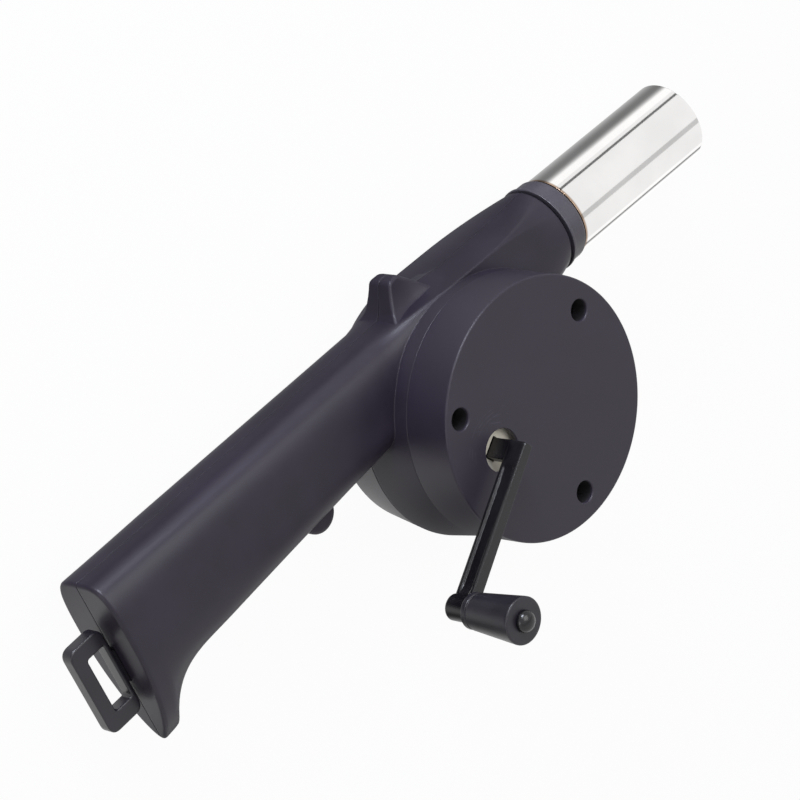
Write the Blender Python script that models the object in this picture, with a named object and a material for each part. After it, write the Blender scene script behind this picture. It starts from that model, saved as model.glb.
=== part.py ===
"""Hand-cranked air blower: two moulded half shells that form a handle, a fan drum and a neck, a gearbox
cover, a crank with a turning knob, a two-step gear train, an impeller and a steel nozzle tube.

The blower lies on its air-intake side with the crank on top. X runs along the handle towards the nozzle,
Y towards the thumb rest and Z up along the fan shaft. The origin is where the fan's axis meets the face it
lies on. Every size is in millimetres, and becomes metres where a mesh is made.
"""

from math import acos, atan, atan2, cos, hypot, pi, radians, sin, tan

import bmesh
import bpy
from mathutils import Matrix

MM = 0.001
GAP = 0.3  # between pieces that touch
RUNNING = 0.1  # radial clearance of a shaft in its bore

# Parting plane and walls of the shells
SEAM_Z = 17.2
SEAM_GAP = 0.3
WALL = 2.2

# Fan drum, a round box whose wall drafts away from the parting plane
DRUM_R_SEAM = 42.0
DRUM_R_FACE = 40.0
DRUM_R_INTAKE = 39.0
DRUM_TOP = 34.4
DRUM_EDGE = 2.0
DECK_LOW = 29.4
DECK_TOP = 32.2
LIP_TOP = 36.0
LIP_R_OUT = 37.5
LIP_R_IN = 36.6

# Air intake in the drum's flat side
GRILLE_R = 25.0
GRILLE_RECESS = 0.8
GRILLE_FLOOR = 2.8
HUB_FACE_R = 6.2
SLOT_RINGS = ((10, 7.8, 13.2), (20, 15.0, 23.4))  # count, inner radius, outer radius
RIB = 1.7

# Gearbox cover
COVER_LOW = DRUM_TOP + GAP
COVER_TOP = 51.3
COVER_SKIN = 2.0
COVER_R = 40.35
COVER_R_IN = 37.8
COVER_EDGE = 0.8
CRANK_HOLE_R = 6.5
RECESS_R = 3.35
RECESS_FLOOR = 44.2
COVER_BOSS_R = 4.9
COVER_BOSS_LOW = 42.4
COVER_SCREWS = ((26.1, 18.2), (-30.2, 16.3), (2.5, -31.7))

# Handle: its top line, lower line, half thickness and butt
BUTT_X = -147.3
BUTT_LEAN = 0.06  # how far the butt leans back for each millimetre of height
BUTT_LEAN_FROM_Y = 9.0
HANDLE_HALF = 12.4
HANDLE_TOP_BUTT = 36.2
HANDLE_TOP_DRUM = 40.6
HANDLE_LOW_TAIL = -5.1
HANDLE_LOW_SLOPE = 0.13
TAIL_START_X = -108.2
TAIL_TIP_X = -141.2
TAIL_DROP = 15.0
TAIL_POWER = 4.35
BUTT_FILLET = 1.2

# Neck: square where it leaves the drum, round where the collar sits
NECK_HALF = 13.5
NECK_TOP = 40.95
NECK_CROWN = 0.8
NECK_LOW = 15.4
NECK_SQUARE_X = 15.0
NECK_END_X = 49.2
NECK_END_R = 14.3
NECK_EASE = 2.2
NECK_CORNER = 0.5
NECK_SHOULDER = 0.5
TUBE_Y = 29.0

# Nozzle
SPIGOT_R = 12.7
SPIGOT_BORE = 10.6
SPIGOT_END_X = 74.0
COLLAR_X = (50.1, 57.0)
COLLAR_R = 14.1
COLLAR_FLANGE_R = 14.7
TUBE_X = (57.3, 116.5)
TUBE_R = 13.5
TUBE_WALL = 0.5

# Thumb rest above the drum and finger stop below the handle
THUMB_FOOT_Y = 40.9
THUMB_CREST_Y = 50.2
THUMB_REAR = (-18.4, 0.54)  # X at the foot and how far the face leans for each millimetre up
THUMB_FRONT = (-0.3, -0.96)
THUMB_HALF_REAR = (7.1, 4.9)  # at the foot and at the crest
THUMB_HALF_FRONT = (6.5, 4.2)
THUMB_WAIST = 1.1
FINGER_STOP = (-69.8, 6.3)
FINGER_STOP_R = 6.3
FINGER_STOP_HALF = 6.4

# Hanging loop, measured outward from the butt and up from the loop's middle
LOOP_MID_Y = 7.6
LOOP_LEAN = 0.06
LOOP_OUTER = ((1.1, 13.8), 14.7)
LOOP_HOLE = ((2.6, 9.2), 9.2)
LOOP_HALF_THICK = 2.2
TANG_HALF_THICK = 1.5
TANG_HALF_WIDTH = 5.5
TANG_HEAD_HALF_WIDTH = 8.5
BUTT_WALL = 2.6

# Crank, with its throw measured between the two axes
CRANK_AXIS = (-20.4, -1.1)
CRANK_ANGLE = -146.0
CRANK_THROW = 48.7
ARM_LOW = (54.2, 55.5)  # at the shank and at the pin
ARM_HIGH = (61.0, 62.4)
ARM_OVERSHOOT = 3.0
ARM_HALF_WIDTH = (1.75, 2.1)
SHANK_HALF = (3.2, 1.7)
SHANK_LOW = 44.3
ARM_CHANNEL = 0.6
ARM_FLANGE = 1.5
PIN_BOSS_R = 4.0
PIN_R = 2.3
DOME_R = 3.3
DOME_RISE = 2.2
KNOB_Z = (62.9, 83.6)
KNOB_R = (5.5, 7.1)
KNOB_BORE = 2.5

# Gears: module, pressure angle and tooth counts
MODULE = 0.8
PRESSURE = radians(25.0)
ADDENDUM = 0.9 * MODULE
DEDENDUM = 1.2 * MODULE
BACKLASH = 0.14
CRANK_TEETH = 36
IDLER_PINION_TEETH = 10
IDLER_TEETH = 34
FAN_PINION_TEETH = 10
CRANK_GEAR_Z = (38.0, 42.0)
CRANK_HUB_R = 8.5
CRANK_HUB_TOP = 47.5
CRANK_POST_R = 3.4
CRANK_POST_TOP = 41.1
GEAR_SOCKET_LOW = 44.0
GEAR_BORE_TOP = 43.0
IDLER_GEAR_Z = (33.2, 36.8)
IDLER_PINION_TOP = 42.4
FAN_PINION_Z = (33.4, 37.4)

# Shafts, bushes and impeller
SHAFT_R = 1.5
BUSH_R = 3.2
BUSH_FLANGE_R = 4.4
FAN_SHAFT_Z = (2.7, 38.4)
FAR_BUSH_Z = (2.4, 6.4)
FAR_BOSS_TOP = 6.2
IMPELLER_R = 30.0
IMPELLER_EYE_R = 9.0
BLADE_Z = (8.6, 24.6)
BLADE_COUNT = 12
BLADE_THICK = 1.2
BLADE_SWEEP = radians(24.0)

# Self-tapping screws
SCREW_SHANK_R = 1.15
SCREW_HEAD_R = 2.7
SCREW_HEAD = 1.5
SCREW_BORE = 1.45
SCREW_PASS = 1.7
SHELL_SEAT_Z = 8.0
SHELL_SCREW_TIP = 26.0
SHELL_BOSS_R = 4.2
SHELL_POST_R = 3.3
DRUM_SCREW_R = 35.4
SHELL_SCREWS = (
    (-128.0, 16.0),
    (-62.0, 20.0),
    (-31.0, 31.0),
    (DRUM_SCREW_R * cos(radians(-128.0)), DRUM_SCREW_R * sin(radians(-128.0))),
    (DRUM_SCREW_R * cos(radians(-38.0)), DRUM_SCREW_R * sin(radians(-38.0))),
)

ROUND = 60  # segments of a large round piece
INSIDE = 36  # segments of a large round piece's inner side
FINE = 20  # segments of a knob or a bush
SMALL = 12  # segments of a screw or a post


# Materials

def material(name, colour, roughness, metallic=0.0):
    """Returns a Principled material of one colour."""
    made = bpy.data.materials.new(name)
    made.use_nodes = True
    shader = made.node_tree.nodes["Principled BSDF"]
    shader.inputs["Base Color"].default_value = (*colour, 1.0)
    shader.inputs["Roughness"].default_value = roughness
    shader.inputs["Metallic"].default_value = metallic
    made.diffuse_color = (*colour, 1.0)
    return made


# Mesh tools

def solid(name, points, faces, finish=None):
    """Makes an object from points in millimetres and faces, with every face pointing out."""
    mesh = bpy.data.meshes.new(name)
    mesh.from_pydata([[MM * value for value in point] for point in points], [], faces)
    shape = bmesh.new()
    shape.from_mesh(mesh)
    bmesh.ops.recalc_face_normals(shape, faces=shape.faces)
    shape.to_mesh(mesh)
    shape.free()
    made = bpy.data.objects.new(name, mesh)
    bpy.context.scene.collection.objects.link(made)
    if finish:
        mesh.materials.append(finish)
    return made


def loft(name, rings, finish=None):
    """Joins closed rings of equal length into a solid with flat ends."""
    count = len(rings[0])
    points = [point for ring in rings for point in ring]
    faces = [list(range(count)), list(range(len(points) - count, len(points)))]
    for row in range(len(rings) - 1):
        low = row * count
        for step in range(count):
            after = (step + 1) % count
            faces.append([low + step, low + after, low + count + after, low + count + step])
    return solid(name, points, faces, finish)


def prism(name, outline, low, high, finish=None):
    """Extrudes an outline in X and Y from one height to another."""
    return loft(name, [[(x, y, height) for x, y in outline] for height in (low, high)], finish)


def turned(name, profile, centre=(0.0, 0.0), along="Z", segments=ROUND, finish=None):
    """Turns a profile of (radius, height) points about an axis.

    The axis is Z through centre (x, y), or X through centre (y, z). A profile that starts and ends at
    radius 0 makes a full body. Any other profile is closed into a ring.
    """
    full = profile[0][0] == 0 and profile[-1][0] == 0
    flat = [full and profile[0][1] == profile[1][1], full and profile[-1][1] == profile[-2][1]]
    profile = profile[1 if flat[0] else 0:len(profile) - 1 if flat[1] else len(profile)]
    points, rings, faces = [], [], []
    for radius, height in profile:
        ring = []
        for step in range(segments if radius > 0 else 1):
            angle = 2 * pi * step / segments
            across = (centre[0] + radius * cos(angle), centre[1] + radius * sin(angle))
            ring.append(len(points))
            points.append((*across, height) if along == "Z" else (height, *across))
        rings.append(ring)
    faces += [ring for ring, capped in zip((rings[0], rings[-1]), flat) if capped]
    pairs = list(zip(rings, rings[1:])) + ([] if full else [(rings[-1], rings[0])])
    for low, high in pairs:
        for step in range(segments):
            after = (step + 1) % segments
            corners = [low[step % len(low)], low[after % len(low)]]
            corners += [high[after % len(high)], high[step % len(high)]]
            faces.append(list(dict.fromkeys(corners)))
    return solid(name, points, faces, finish)


def rod(name, radius, low, high, centre=(0.0, 0.0), along="Z", segments=SMALL, finish=None):
    """Makes a plain cylinder."""
    profile = [(0, low), (radius, low), (radius, high), (0, high)]
    return turned(name, profile, centre, along, segments, finish)


def pipe(name, inner, outer, low, high, centre=(0.0, 0.0), along="Z", segments=SMALL, finish=None):
    """Makes a plain tube."""
    profile = [(inner, low), (outer, low), (outer, high), (inner, high)]
    return turned(name, profile, centre, along, segments, finish)


def box(name, low, high):
    """Makes a box between two corners."""
    outline = [(low[0], low[1]), (high[0], low[1]), (high[0], high[1]), (low[0], high[1])]
    return prism(name, outline, low[2], high[2])


def combine(target, tool, operation):
    """Joins, cuts or keeps the target with the tool, which is used up."""
    modifier = target.modifiers.new(operation.title(), "BOOLEAN")
    modifier.operation = operation
    modifier.solver = "EXACT"
    modifier.object = tool
    bpy.context.view_layer.update()
    graph = bpy.context.evaluated_depsgraph_get()
    result = bpy.data.meshes.new_from_object(target.evaluated_get(graph))
    target.modifiers.clear()
    target.data = result
    bpy.data.objects.remove(tool)
    return target


def join(target, *tools):
    """Fuses tools onto the target."""
    for tool in tools:
        combine(target, tool, "UNION")
    return target


def cut(target, *tools):
    """Cuts tools out of the target."""
    for tool in tools:
        combine(target, tool, "DIFFERENCE")
    return target


def keep_side(target, height, side):
    """Parts a hollow body at a height, keeps its upper side (1) or lower side (-1) and closes it."""
    shape = bmesh.new()
    shape.from_mesh(target.data)
    parted = bmesh.ops.bisect_plane(shape, geom=[*shape.verts, *shape.edges, *shape.faces], dist=1e-7,
                                    plane_co=(0, 0, MM * height), plane_no=(0, 0, side),
                                    clear_inner=True)
    rim = [item for item in parted["geom_cut"] if isinstance(item, bmesh.types.BMEdge)]
    bmesh.ops.triangle_fill(shape, use_beauty=True, use_dissolve=False, edges=rim, normal=(0, 0, -side))
    bmesh.ops.recalc_face_normals(shape, faces=shape.faces)
    shape.to_mesh(target.data)
    shape.free()
    return target


def copy_of(source, name):
    """Returns an independent copy of an object."""
    made = source.copy()
    made.data = source.data.copy()
    made.name = name
    bpy.context.scene.collection.objects.link(made)
    return made


def put_origin(target, x, y, z):
    """Moves an object's origin without moving its shape."""
    target.data.transform(Matrix.Translation((-MM * x, -MM * y, -MM * z)))
    target.location = (MM * x, MM * y, MM * z)
    return target


def finished(target, finish, angle=32.0):
    """Clears needless edges from flat faces, and gives an object its one material and smooth round faces."""
    mesh = target.data
    shape = bmesh.new()
    shape.from_mesh(mesh)
    bmesh.ops.dissolve_limit(shape, angle_limit=radians(0.4), verts=shape.verts, edges=shape.edges)
    shape.to_mesh(mesh)
    shape.free()
    mesh.materials.clear()
    mesh.materials.append(finish)
    mesh.shade_smooth()
    mesh.set_sharp_from_angle(angle=radians(angle))
    return target


# Outline tools

def rounded_rectangle(x_range, y_range, radius, steps=5):
    """Returns the outline of a rectangle with round corners."""
    (left, right), (low, high) = x_range, y_range
    corners = ((right, high, 0), (left, high, 90), (left, low, 180), (right, low, 270))
    outline = []
    for x, y, start in corners:
        centre_x = x - radius if x == right else x + radius
        centre_y = y - radius if y == high else y + radius
        for step in range(steps + 1):
            angle = radians(start + 90 * step / steps)
            outline.append((centre_x + radius * cos(angle), centre_y + radius * sin(angle)))
    return outline


def between(value, low, high):
    """Returns how far a value is from low to high, as a smooth step from 0 to 1."""
    part = min(max((value - low) / (high - low), 0.0), 1.0)
    return part * part * (3 - 2 * part)


def involute(radius, base):
    """Returns the involute angle at a radius."""
    pressure = acos(min(base / radius, 1.0))
    return tan(pressure) - pressure


def gear_outline(teeth, centre, phase, flank_steps=3):
    """Returns an involute gear's outline. phase is the angle of the middle of its first tooth."""
    pitch = MODULE * teeth / 2
    base = pitch * cos(PRESSURE)
    root = pitch - DEDENDUM
    tip = pitch + ADDENDUM
    half_pitch = (pi * MODULE / 2 - BACKLASH) / (2 * pitch)
    start = max(base, root)
    flank = [start + (tip - start) * step / (flank_steps - 1) for step in range(flank_steps)]
    half = [(radius, half_pitch + involute(pitch, base) - involute(radius, base)) for radius in flank]
    if root < base:
        half.insert(0, (root, half[0][1]))
    outline = []
    for tooth in range(teeth):
        middle = phase + 2 * pi * tooth / teeth
        turns = [(radius, middle - angle) for radius, angle in half]
        turns += [(radius, middle + angle) for radius, angle in reversed(half)]
        outline += [(centre[0] + radius * cos(turn), centre[1] + radius * sin(turn))
                    for radius, turn in turns]
    return outline


def mesh_phase(driver, driver_teeth, driver_phase, follower, follower_teeth):
    """Returns the follower's phase at which its teeth fall in the driver's gaps."""
    line = atan2(follower[1] - driver[1], follower[0] - driver[0])
    driver_pitch = 2 * pi / driver_teeth
    follower_pitch = 2 * pi / follower_teeth
    ahead = (driver_phase - line) % driver_pitch
    return line + pi + follower_pitch / 2 - ahead * driver_teeth / follower_teeth


def idler_centre():
    """Returns the idler's axis, one centre distance from the crank's axis and one from the fan's."""
    to_crank = MODULE * (CRANK_TEETH + IDLER_PINION_TEETH) / 2
    to_fan = MODULE * (IDLER_TEETH + FAN_PINION_TEETH) / 2
    apart = hypot(*CRANK_AXIS)
    along = (to_fan ** 2 - to_crank ** 2 + apart ** 2) / (2 * apart)
    aside = (to_fan ** 2 - along ** 2) ** 0.5
    ux, uy = CRANK_AXIS[0] / apart, CRANK_AXIS[1] / apart
    return (ux * along - uy * aside, uy * along + ux * aside)


# Handle, drum and neck

QUADRANT = 9  # points in a quarter of a section
CORNER = 5  # steps of them round a corner
ROUND_ANGLES = (0, 11, 22, 30, 38, 46, 54, 62, 76)  # where they land on the round end


def oval_quarter(half, height, power):
    """Returns a quarter of a super-ellipse as (across, up) points, from its top."""
    angles = [pi / 2 * step / QUADRANT for step in range(QUADRANT)]
    return [(half * sin(a) ** (2 / power), height * cos(a) ** (2 / power)) for a in angles]


def square_quarter(half, height, corner, crown=0.0):
    """Returns a quarter of a rectangle with a small round corner and a crowned side, from its top."""
    flat, wall = half - corner, height - corner
    points = [(flat * part, height + crown * (1 - part ** 2)) for part in (0, 0.5)]
    for step in range(CORNER + 1):
        angle = pi / 2 * step / CORNER
        points.append((flat + corner * sin(angle), wall + corner * cos(angle)))
    return points + [(half, wall / 2)]


def round_quarter(radius):
    """Returns a quarter of a circle, with its points spread to meet the square's flats and corner."""
    return [(radius * sin(radians(angle)), radius * cos(radians(angle))) for angle in ROUND_ANGLES]


def mix(first, second, part):
    """Mixes two lists of points."""
    return [tuple(a + (b - a) * part for a, b in zip(p, q)) for p, q in zip(first, second)]


def ring_at(x, upper, lower, middle, lean=0.0):
    """Builds a full section ring at x from its upper and lower quarter, mirrored across the seam."""
    ring = [(across, up) for across, up in upper]
    ring += [(across, -up) for across, up in mirrored_end(lower)]
    ring += [(-across, -up) for across, up in lower]
    ring += [(-across, up) for across, up in mirrored_end(upper)]
    return [(x - lean * (middle + up - BUTT_LEAN_FROM_Y), middle + up, SEAM_Z + across)
            for across, up in ring]


def mirrored_end(quarter):
    """Returns a quarter walked back from its side to its top, without the top point."""
    side = (max(across for across, up in quarter), 0.0)
    return [side] + list(reversed(quarter[1:]))


def handle_lines(x):
    """Returns the handle's top and lower height at x."""
    part = (x - BUTT_X) / -BUTT_X
    top = HANDLE_TOP_BUTT + (HANDLE_TOP_DRUM - HANDLE_TOP_BUTT) * part
    low = HANDLE_LOW_TAIL + HANDLE_LOW_SLOPE * (x - TAIL_TIP_X)
    tail = min(max((TAIL_START_X - x) / (TAIL_START_X - TAIL_TIP_X), 0.0), 1.0)
    return top, low - TAIL_DROP * tail ** TAIL_POWER


def handle_ring(x, inset=0.0):
    """Returns the handle's section at x, drawn in by inset all round."""
    top, low = handle_lines(x)
    near_tail = 1 - between(x, TAIL_TIP_X, -112.0)
    middle = 17.0 - 5.0 * near_tail
    half = HANDLE_HALF - inset
    upper = oval_quarter(half, top - middle - inset, 4.0)
    lower = oval_quarter(half, middle - low - inset * (1 + near_tail), 2.9 - 1.3 * near_tail)
    lean = BUTT_LEAN * (1 - between(x, BUTT_X, -120.0))
    return ring_at(x, upper, lower, middle, lean)


def square_ring(x, inset=0.0):
    """Returns the neck's square section at x, whose top grows a crown along the way."""
    middle = (NECK_TOP + NECK_LOW) / 2
    size = (NECK_HALF - inset, NECK_TOP - middle - inset, NECK_CORNER)
    crown = NECK_CROWN * min(max(x / 20.0, 0.0), 1.0)
    return ring_at(x, square_quarter(*size, crown), square_quarter(*size), middle)


def round_ring(x, radius):
    """Returns the neck's round section at x."""
    quarter = round_quarter(radius)
    return ring_at(x, quarter, quarter, TUBE_Y)


def neck_ring(x):
    """Returns the neck's section at x, which turns from square to round ever faster."""
    part = ((x - NECK_SQUARE_X) / (NECK_END_X - NECK_SQUARE_X)) ** NECK_EASE
    return mix(square_ring(x), round_ring(x, NECK_END_R), part)


def spine(name):
    """Makes the outer body from the butt, along the handle and over the drum, to the neck's end."""
    rings = [handle_ring(BUTT_X, BUTT_FILLET), handle_ring(BUTT_X + 0.3, 0.4)]
    rings += [handle_ring(x) for x in (BUTT_X + BUTT_FILLET, -143.5, -140.5, -137.5, -134, -130, -125, -118,
                                       -108, -60, -25)]
    rings.append(mix(handle_ring(-12), square_ring(-12), 0.6))
    rings.append(square_ring(0))
    rings += [neck_ring(x) for x in (NECK_SQUARE_X, 23, 30, 36, 41, 45, NECK_END_X - NECK_SHOULDER)]
    rings.append(round_ring(NECK_END_X, NECK_END_R - NECK_SHOULDER))
    return loft(name, rings)


def handle_hollow():
    """Makes the space inside the handle, which ends at the drum's wall."""
    rings = [handle_ring(x, WALL) for x in (BUTT_X + BUTT_WALL, -141, -136, -130, -120, -104, -22)]
    hollow = loft("handle_hollow", rings)
    return cut(hollow, rod("drum_plug", DRUM_R_SEAM + 0.4, -20, 60, segments=ROUND))


def neck_hollow():
    """Makes the air duct from the drum, through the neck and its spigot."""
    start = square_ring(8.0, WALL)
    middle = square_ring(NECK_SQUARE_X, WALL)
    end = round_ring(NECK_END_X - 4.0, SPIGOT_BORE)
    return loft("neck_hollow", [start, middle, end, round_ring(SPIGOT_END_X + 2.0, SPIGOT_BORE)])


def drum_body():
    """Makes the drum's outer form up to the cover."""
    edge = [(DRUM_R_INTAKE - DRUM_EDGE + DRUM_EDGE * sin(radians(a)), DRUM_EDGE * (1 - cos(radians(a))))
            for a in (0, 30, 60, 90)]
    profile = [(0, 0), *edge, (DRUM_R_SEAM, SEAM_Z), (DRUM_R_FACE, DRUM_TOP), (0, DRUM_TOP)]
    return turned("drum_body", profile)


def drum_hollow():
    """Makes the fan's space between the intake floor and the deck."""
    at_deck = DRUM_R_FACE - WALL + 0.5
    profile = [(0, GRILLE_FLOOR), (DRUM_R_INTAKE - WALL, GRILLE_FLOOR), (DRUM_R_SEAM - WALL, SEAM_Z),
               (at_deck, DECK_LOW), (0, DECK_LOW)]
    return turned("drum_hollow", profile, segments=INSIDE)


def thumb_slice(height, draw_in):
    """Returns the thumb rest's level slice: wider at its foot, and waisted between its two faces."""
    rise = height - THUMB_FOOT_Y
    foot = min(max((THUMB_CREST_Y - height) / (THUMB_CREST_Y - THUMB_FOOT_Y), 0.0), 1.2)
    rear = THUMB_REAR[0] + THUMB_REAR[1] * rise + draw_in
    front = THUMB_FRONT[0] + THUMB_FRONT[1] * rise - draw_in
    rear_half, front_half = (top + (base - top) * foot ** 2 - draw_in
                             for base, top in (THUMB_HALF_REAR, THUMB_HALF_FRONT))
    waist = (rear_half + front_half) / 2 - THUMB_WAIST * foot
    side = [(rear, rear_half - 0.8), (rear + 0.6, rear_half), ((rear + front) / 2, waist),
            (front - 0.6, front_half), (front, front_half - 0.8)]
    outline = side + [(x, -half) for x, half in reversed(side)]
    tilt = 0.12 * (1 - min(foot, 1.0))
    return [(x, height + tilt * (x + 11.2), SEAM_Z + half) for x, half in outline]


def thumb_rest():
    """Makes the horn on the spine: a leaning rear face, a short crest and a straight slope to the neck."""
    levels = [(38.5, 0.0), (THUMB_FOOT_Y, 0.0), (42.6, 0.0), (45.0, 0.0), (THUMB_CREST_Y - 1.0, 0.0),
              (THUMB_CREST_Y - 0.3, 0.35), (THUMB_CREST_Y, 1.0)]
    return loft("thumb_rest", [thumb_slice(height, draw_in) for height, draw_in in levels])


def finger_stop():
    """Makes the round bump under the handle."""
    half, radius = FINGER_STOP_HALF, FINGER_STOP_R
    side = [(0, half), (radius - 1.8, half), (radius - 0.4, half - 0.7), (radius, half - 1.6)]
    profile = [(r, SEAM_Z - up) for r, up in side] + [(r, SEAM_Z + up) for r, up in reversed(side)]
    return turned("finger_stop", profile, FINGER_STOP, segments=28)


def casing():
    """Makes the whole hollow casing, before it is parted into two halves."""
    body = spine("casing")
    spigot = rod("spigot", SPIGOT_R, NECK_END_X - 6, SPIGOT_END_X, (TUBE_Y, SEAM_Z), "X", INSIDE)
    join(body, drum_body(), thumb_rest(), finger_stop(), spigot)
    cut(body, drum_hollow(), handle_hollow(), neck_hollow())
    wide, thick = TANG_HALF_WIDTH + GAP, TANG_HALF_THICK + GAP
    return cut(body, box("tang_slot", (BUTT_X - 4, LOOP_MID_Y - wide, SEAM_Z - thick),
                         (BUTT_X + 6, LOOP_MID_Y + wide, SEAM_Z + thick)))


def intake_slot(count, inner, outer, step):
    """Makes one radial slot of the grille, which widens so that the ribs keep their width."""
    corners = []
    for radius in (inner, outer):
        half = pi / count - RIB / 2 / radius
        corners.append((radius, half))
    (inner, narrow), (outer, wide) = corners
    turns = [(inner, -narrow), (inner, narrow), (outer, wide), (outer, -wide)]
    middle = 2 * pi * (step + 0.5) / count
    outline = [(radius * cos(middle + turn), radius * sin(middle + turn)) for radius, turn in turns]
    return prism("slot", outline, -2, GRILLE_FLOOR + 2)


def merged(name, pieces):
    """Puts separate closed bodies into one object, to use as a single cutter."""
    shape = bmesh.new()
    for piece in pieces:
        shape.from_mesh(piece.data)
        bpy.data.objects.remove(piece)
    mesh = bpy.data.meshes.new(name)
    shape.to_mesh(mesh)
    shape.free()
    made = bpy.data.objects.new(name, mesh)
    bpy.context.scene.collection.objects.link(made)
    return made


def intake_shell(whole, finish):
    """Makes the half with the air intake, on which the blower lies, with the wells for the shell screws."""
    shell = copy_of(whole, "intake_shell")
    recess = pipe("recess", HUB_FACE_R, GRILLE_R, -2, GRILLE_RECESS, segments=INSIDE)
    slots = [intake_slot(count, inner, outer, step)
             for count, inner, outer in SLOT_RINGS for step in range(count)]
    low = [5.6 if x < -42 or y > 24 else 1.2 for x, y in SHELL_SCREWS]
    bosses = [rod("boss", SHELL_BOSS_R, start, SEAM_Z, place) for start, place in zip(low, SHELL_SCREWS)]
    bosses.append(rod("bush_boss", BUSH_R + 1.8, GRILLE_FLOOR - 1, FAR_BOSS_TOP, segments=FINE))
    join(shell, *bosses)
    keep_side(shell, SEAM_Z - SEAM_GAP / 2, -1)
    cut(shell, recess, merged("slots", slots))
    cut(shell, rod("bush_seat", BUSH_R + RUNNING, FAR_BUSH_Z[0] - GAP, 20, segments=FINE))
    wells = []
    for place in SHELL_SCREWS:
        profile = [(0, -2), (SCREW_HEAD_R + 0.4, -2), (SCREW_HEAD_R + 0.4, SHELL_SEAT_Z),
                   (SCREW_PASS, SHELL_SEAT_Z), (SCREW_PASS, SEAM_Z + 1), (0, SEAM_Z + 1)]
        wells.append(turned("well", profile, place, segments=SMALL))
    return finished(cut(shell, merged("wells", wells)), finish)


def drive_shell(whole, finish):
    """Makes the half that carries the gearbox deck, with its posts and bores."""
    shell = copy_of(whole, "drive_shell")
    seam = SEAM_Z + SEAM_GAP / 2
    keep_side(shell, seam, 1)
    join(shell, pipe("lip", LIP_R_IN - 0.5, LIP_R_OUT, DECK_TOP, LIP_TOP, segments=INSIDE))
    cut(shell, rod("gear_space", LIP_R_IN, DECK_TOP, LIP_TOP + 2, segments=INSIDE))
    high = [DECK_LOW + 1 if hypot(x, y) < DRUM_R_FACE else SEAM_Z + 11.2 for x, y in SHELL_SCREWS]
    posts = [rod("post", SHELL_POST_R, seam, top, place) for top, place in zip(high, SHELL_SCREWS)]
    posts += [rod("post", 3.0, DECK_LOW + 1, COVER_BOSS_LOW - GAP, place) for place in COVER_SCREWS]
    for radius, top, place in ((CRANK_POST_R, CRANK_POST_TOP, CRANK_AXIS),
                               (3.2, IDLER_GEAR_Z[0] - GAP, idler_centre())):
        posts.append(rod("post", radius, DECK_LOW + 1, top, place, segments=FINE))
    join(shell, *posts)
    bores = [rod("bore", SCREW_BORE, seam - 1, SHELL_SCREW_TIP + 0.5, place) for place in SHELL_SCREWS]
    bores += [rod("bore", SCREW_BORE, DECK_TOP + 1, COVER_TOP, place) for place in COVER_SCREWS]
    for radius, low, place in ((SHAFT_R, DECK_LOW + 0.8, idler_centre()),
                               (BUSH_R, DECK_LOW - 2, (0, 0))):
        bores.append(rod("bore", radius + RUNNING, low, DECK_TOP + 4, place, segments=FINE))
    return finished(cut(shell, merged("bores", bores)), finish)


# Gearbox cover

def gearbox_cover(finish):
    """Makes the cover: a cup with screw wells, the crank's hole, its bearing ring and the idler's boss."""
    low, top = COVER_LOW, COVER_TOP
    outer = [(COVER_R, low), (COVER_R - 0.2, top - COVER_EDGE), (COVER_R - 0.45, top - 0.25),
             (COVER_R - COVER_EDGE - 0.2, top)]
    inner = [(COVER_R_IN - 0.3, top - COVER_SKIN), (COVER_R_IN, low)]
    cover = turned("gearbox_cover", [(0, top - COVER_SKIN), *inner, *outer, (0, top)])
    inside = top - COVER_SKIN + 0.5
    bosses = [rod("boss", COVER_BOSS_R, COVER_BOSS_LOW, inside, place, segments=FINE)
              for place in COVER_SCREWS]
    bosses.append(pipe("ring", CRANK_HUB_R + 0.4, CRANK_HUB_R + 2.0, CRANK_HUB_TOP - 2.2, inside,
                       CRANK_AXIS, segments=FINE + 4))
    bosses.append(rod("boss", 3.0, IDLER_PINION_TOP + 1.6, inside, idler_centre(), segments=FINE))
    join(cover, *bosses)
    well = [(0, top + 1), (RECESS_R, top + 1), (RECESS_R, RECESS_FLOOR), (SCREW_PASS, RECESS_FLOOR),
            (SCREW_PASS, COVER_BOSS_LOW - 1), (0, COVER_BOSS_LOW - 1)]
    wells = [turned("well", well, place, segments=FINE) for place in COVER_SCREWS]
    wells.append(rod("hole", CRANK_HOLE_R, top - 5, top + 1, CRANK_AXIS, segments=FINE))
    wells.append(rod("bore", SHAFT_R + RUNNING, IDLER_PINION_TOP, top - COVER_SKIN - 0.2, idler_centre(),
                     segments=FINE))
    return finished(cut(cover, merged("wells", wells)), finish)


# Nozzle

def nozzle_tube(finish):
    """Makes the thin steel tube with a softened rim."""
    start, end = TUBE_X
    inner = TUBE_R - TUBE_WALL
    profile = [(inner, start), (TUBE_R, start), (TUBE_R, end - 0.2), (TUBE_R - 0.12, end),
               (inner + 0.12, end), (inner, end - 0.2)]
    return finished(turned("nozzle_tube", profile, (TUBE_Y, SEAM_Z), "X", INSIDE), finish)


def nozzle_collar(finish):
    """Makes the ring that clamps the two halves of the spigot."""
    start, end = COLLAR_X
    inner = SPIGOT_R + GAP
    profile = [(inner, start), (COLLAR_FLANGE_R, start), (COLLAR_FLANGE_R, start + 1.0),
               (COLLAR_R, start + 1.3), (COLLAR_R, end - 0.8), (COLLAR_R - 0.6, end), (inner, end)]
    return finished(turned("nozzle_collar", profile, (TUBE_Y, SEAM_Z), "X", INSIDE), finish)


# Hanging loop

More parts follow.
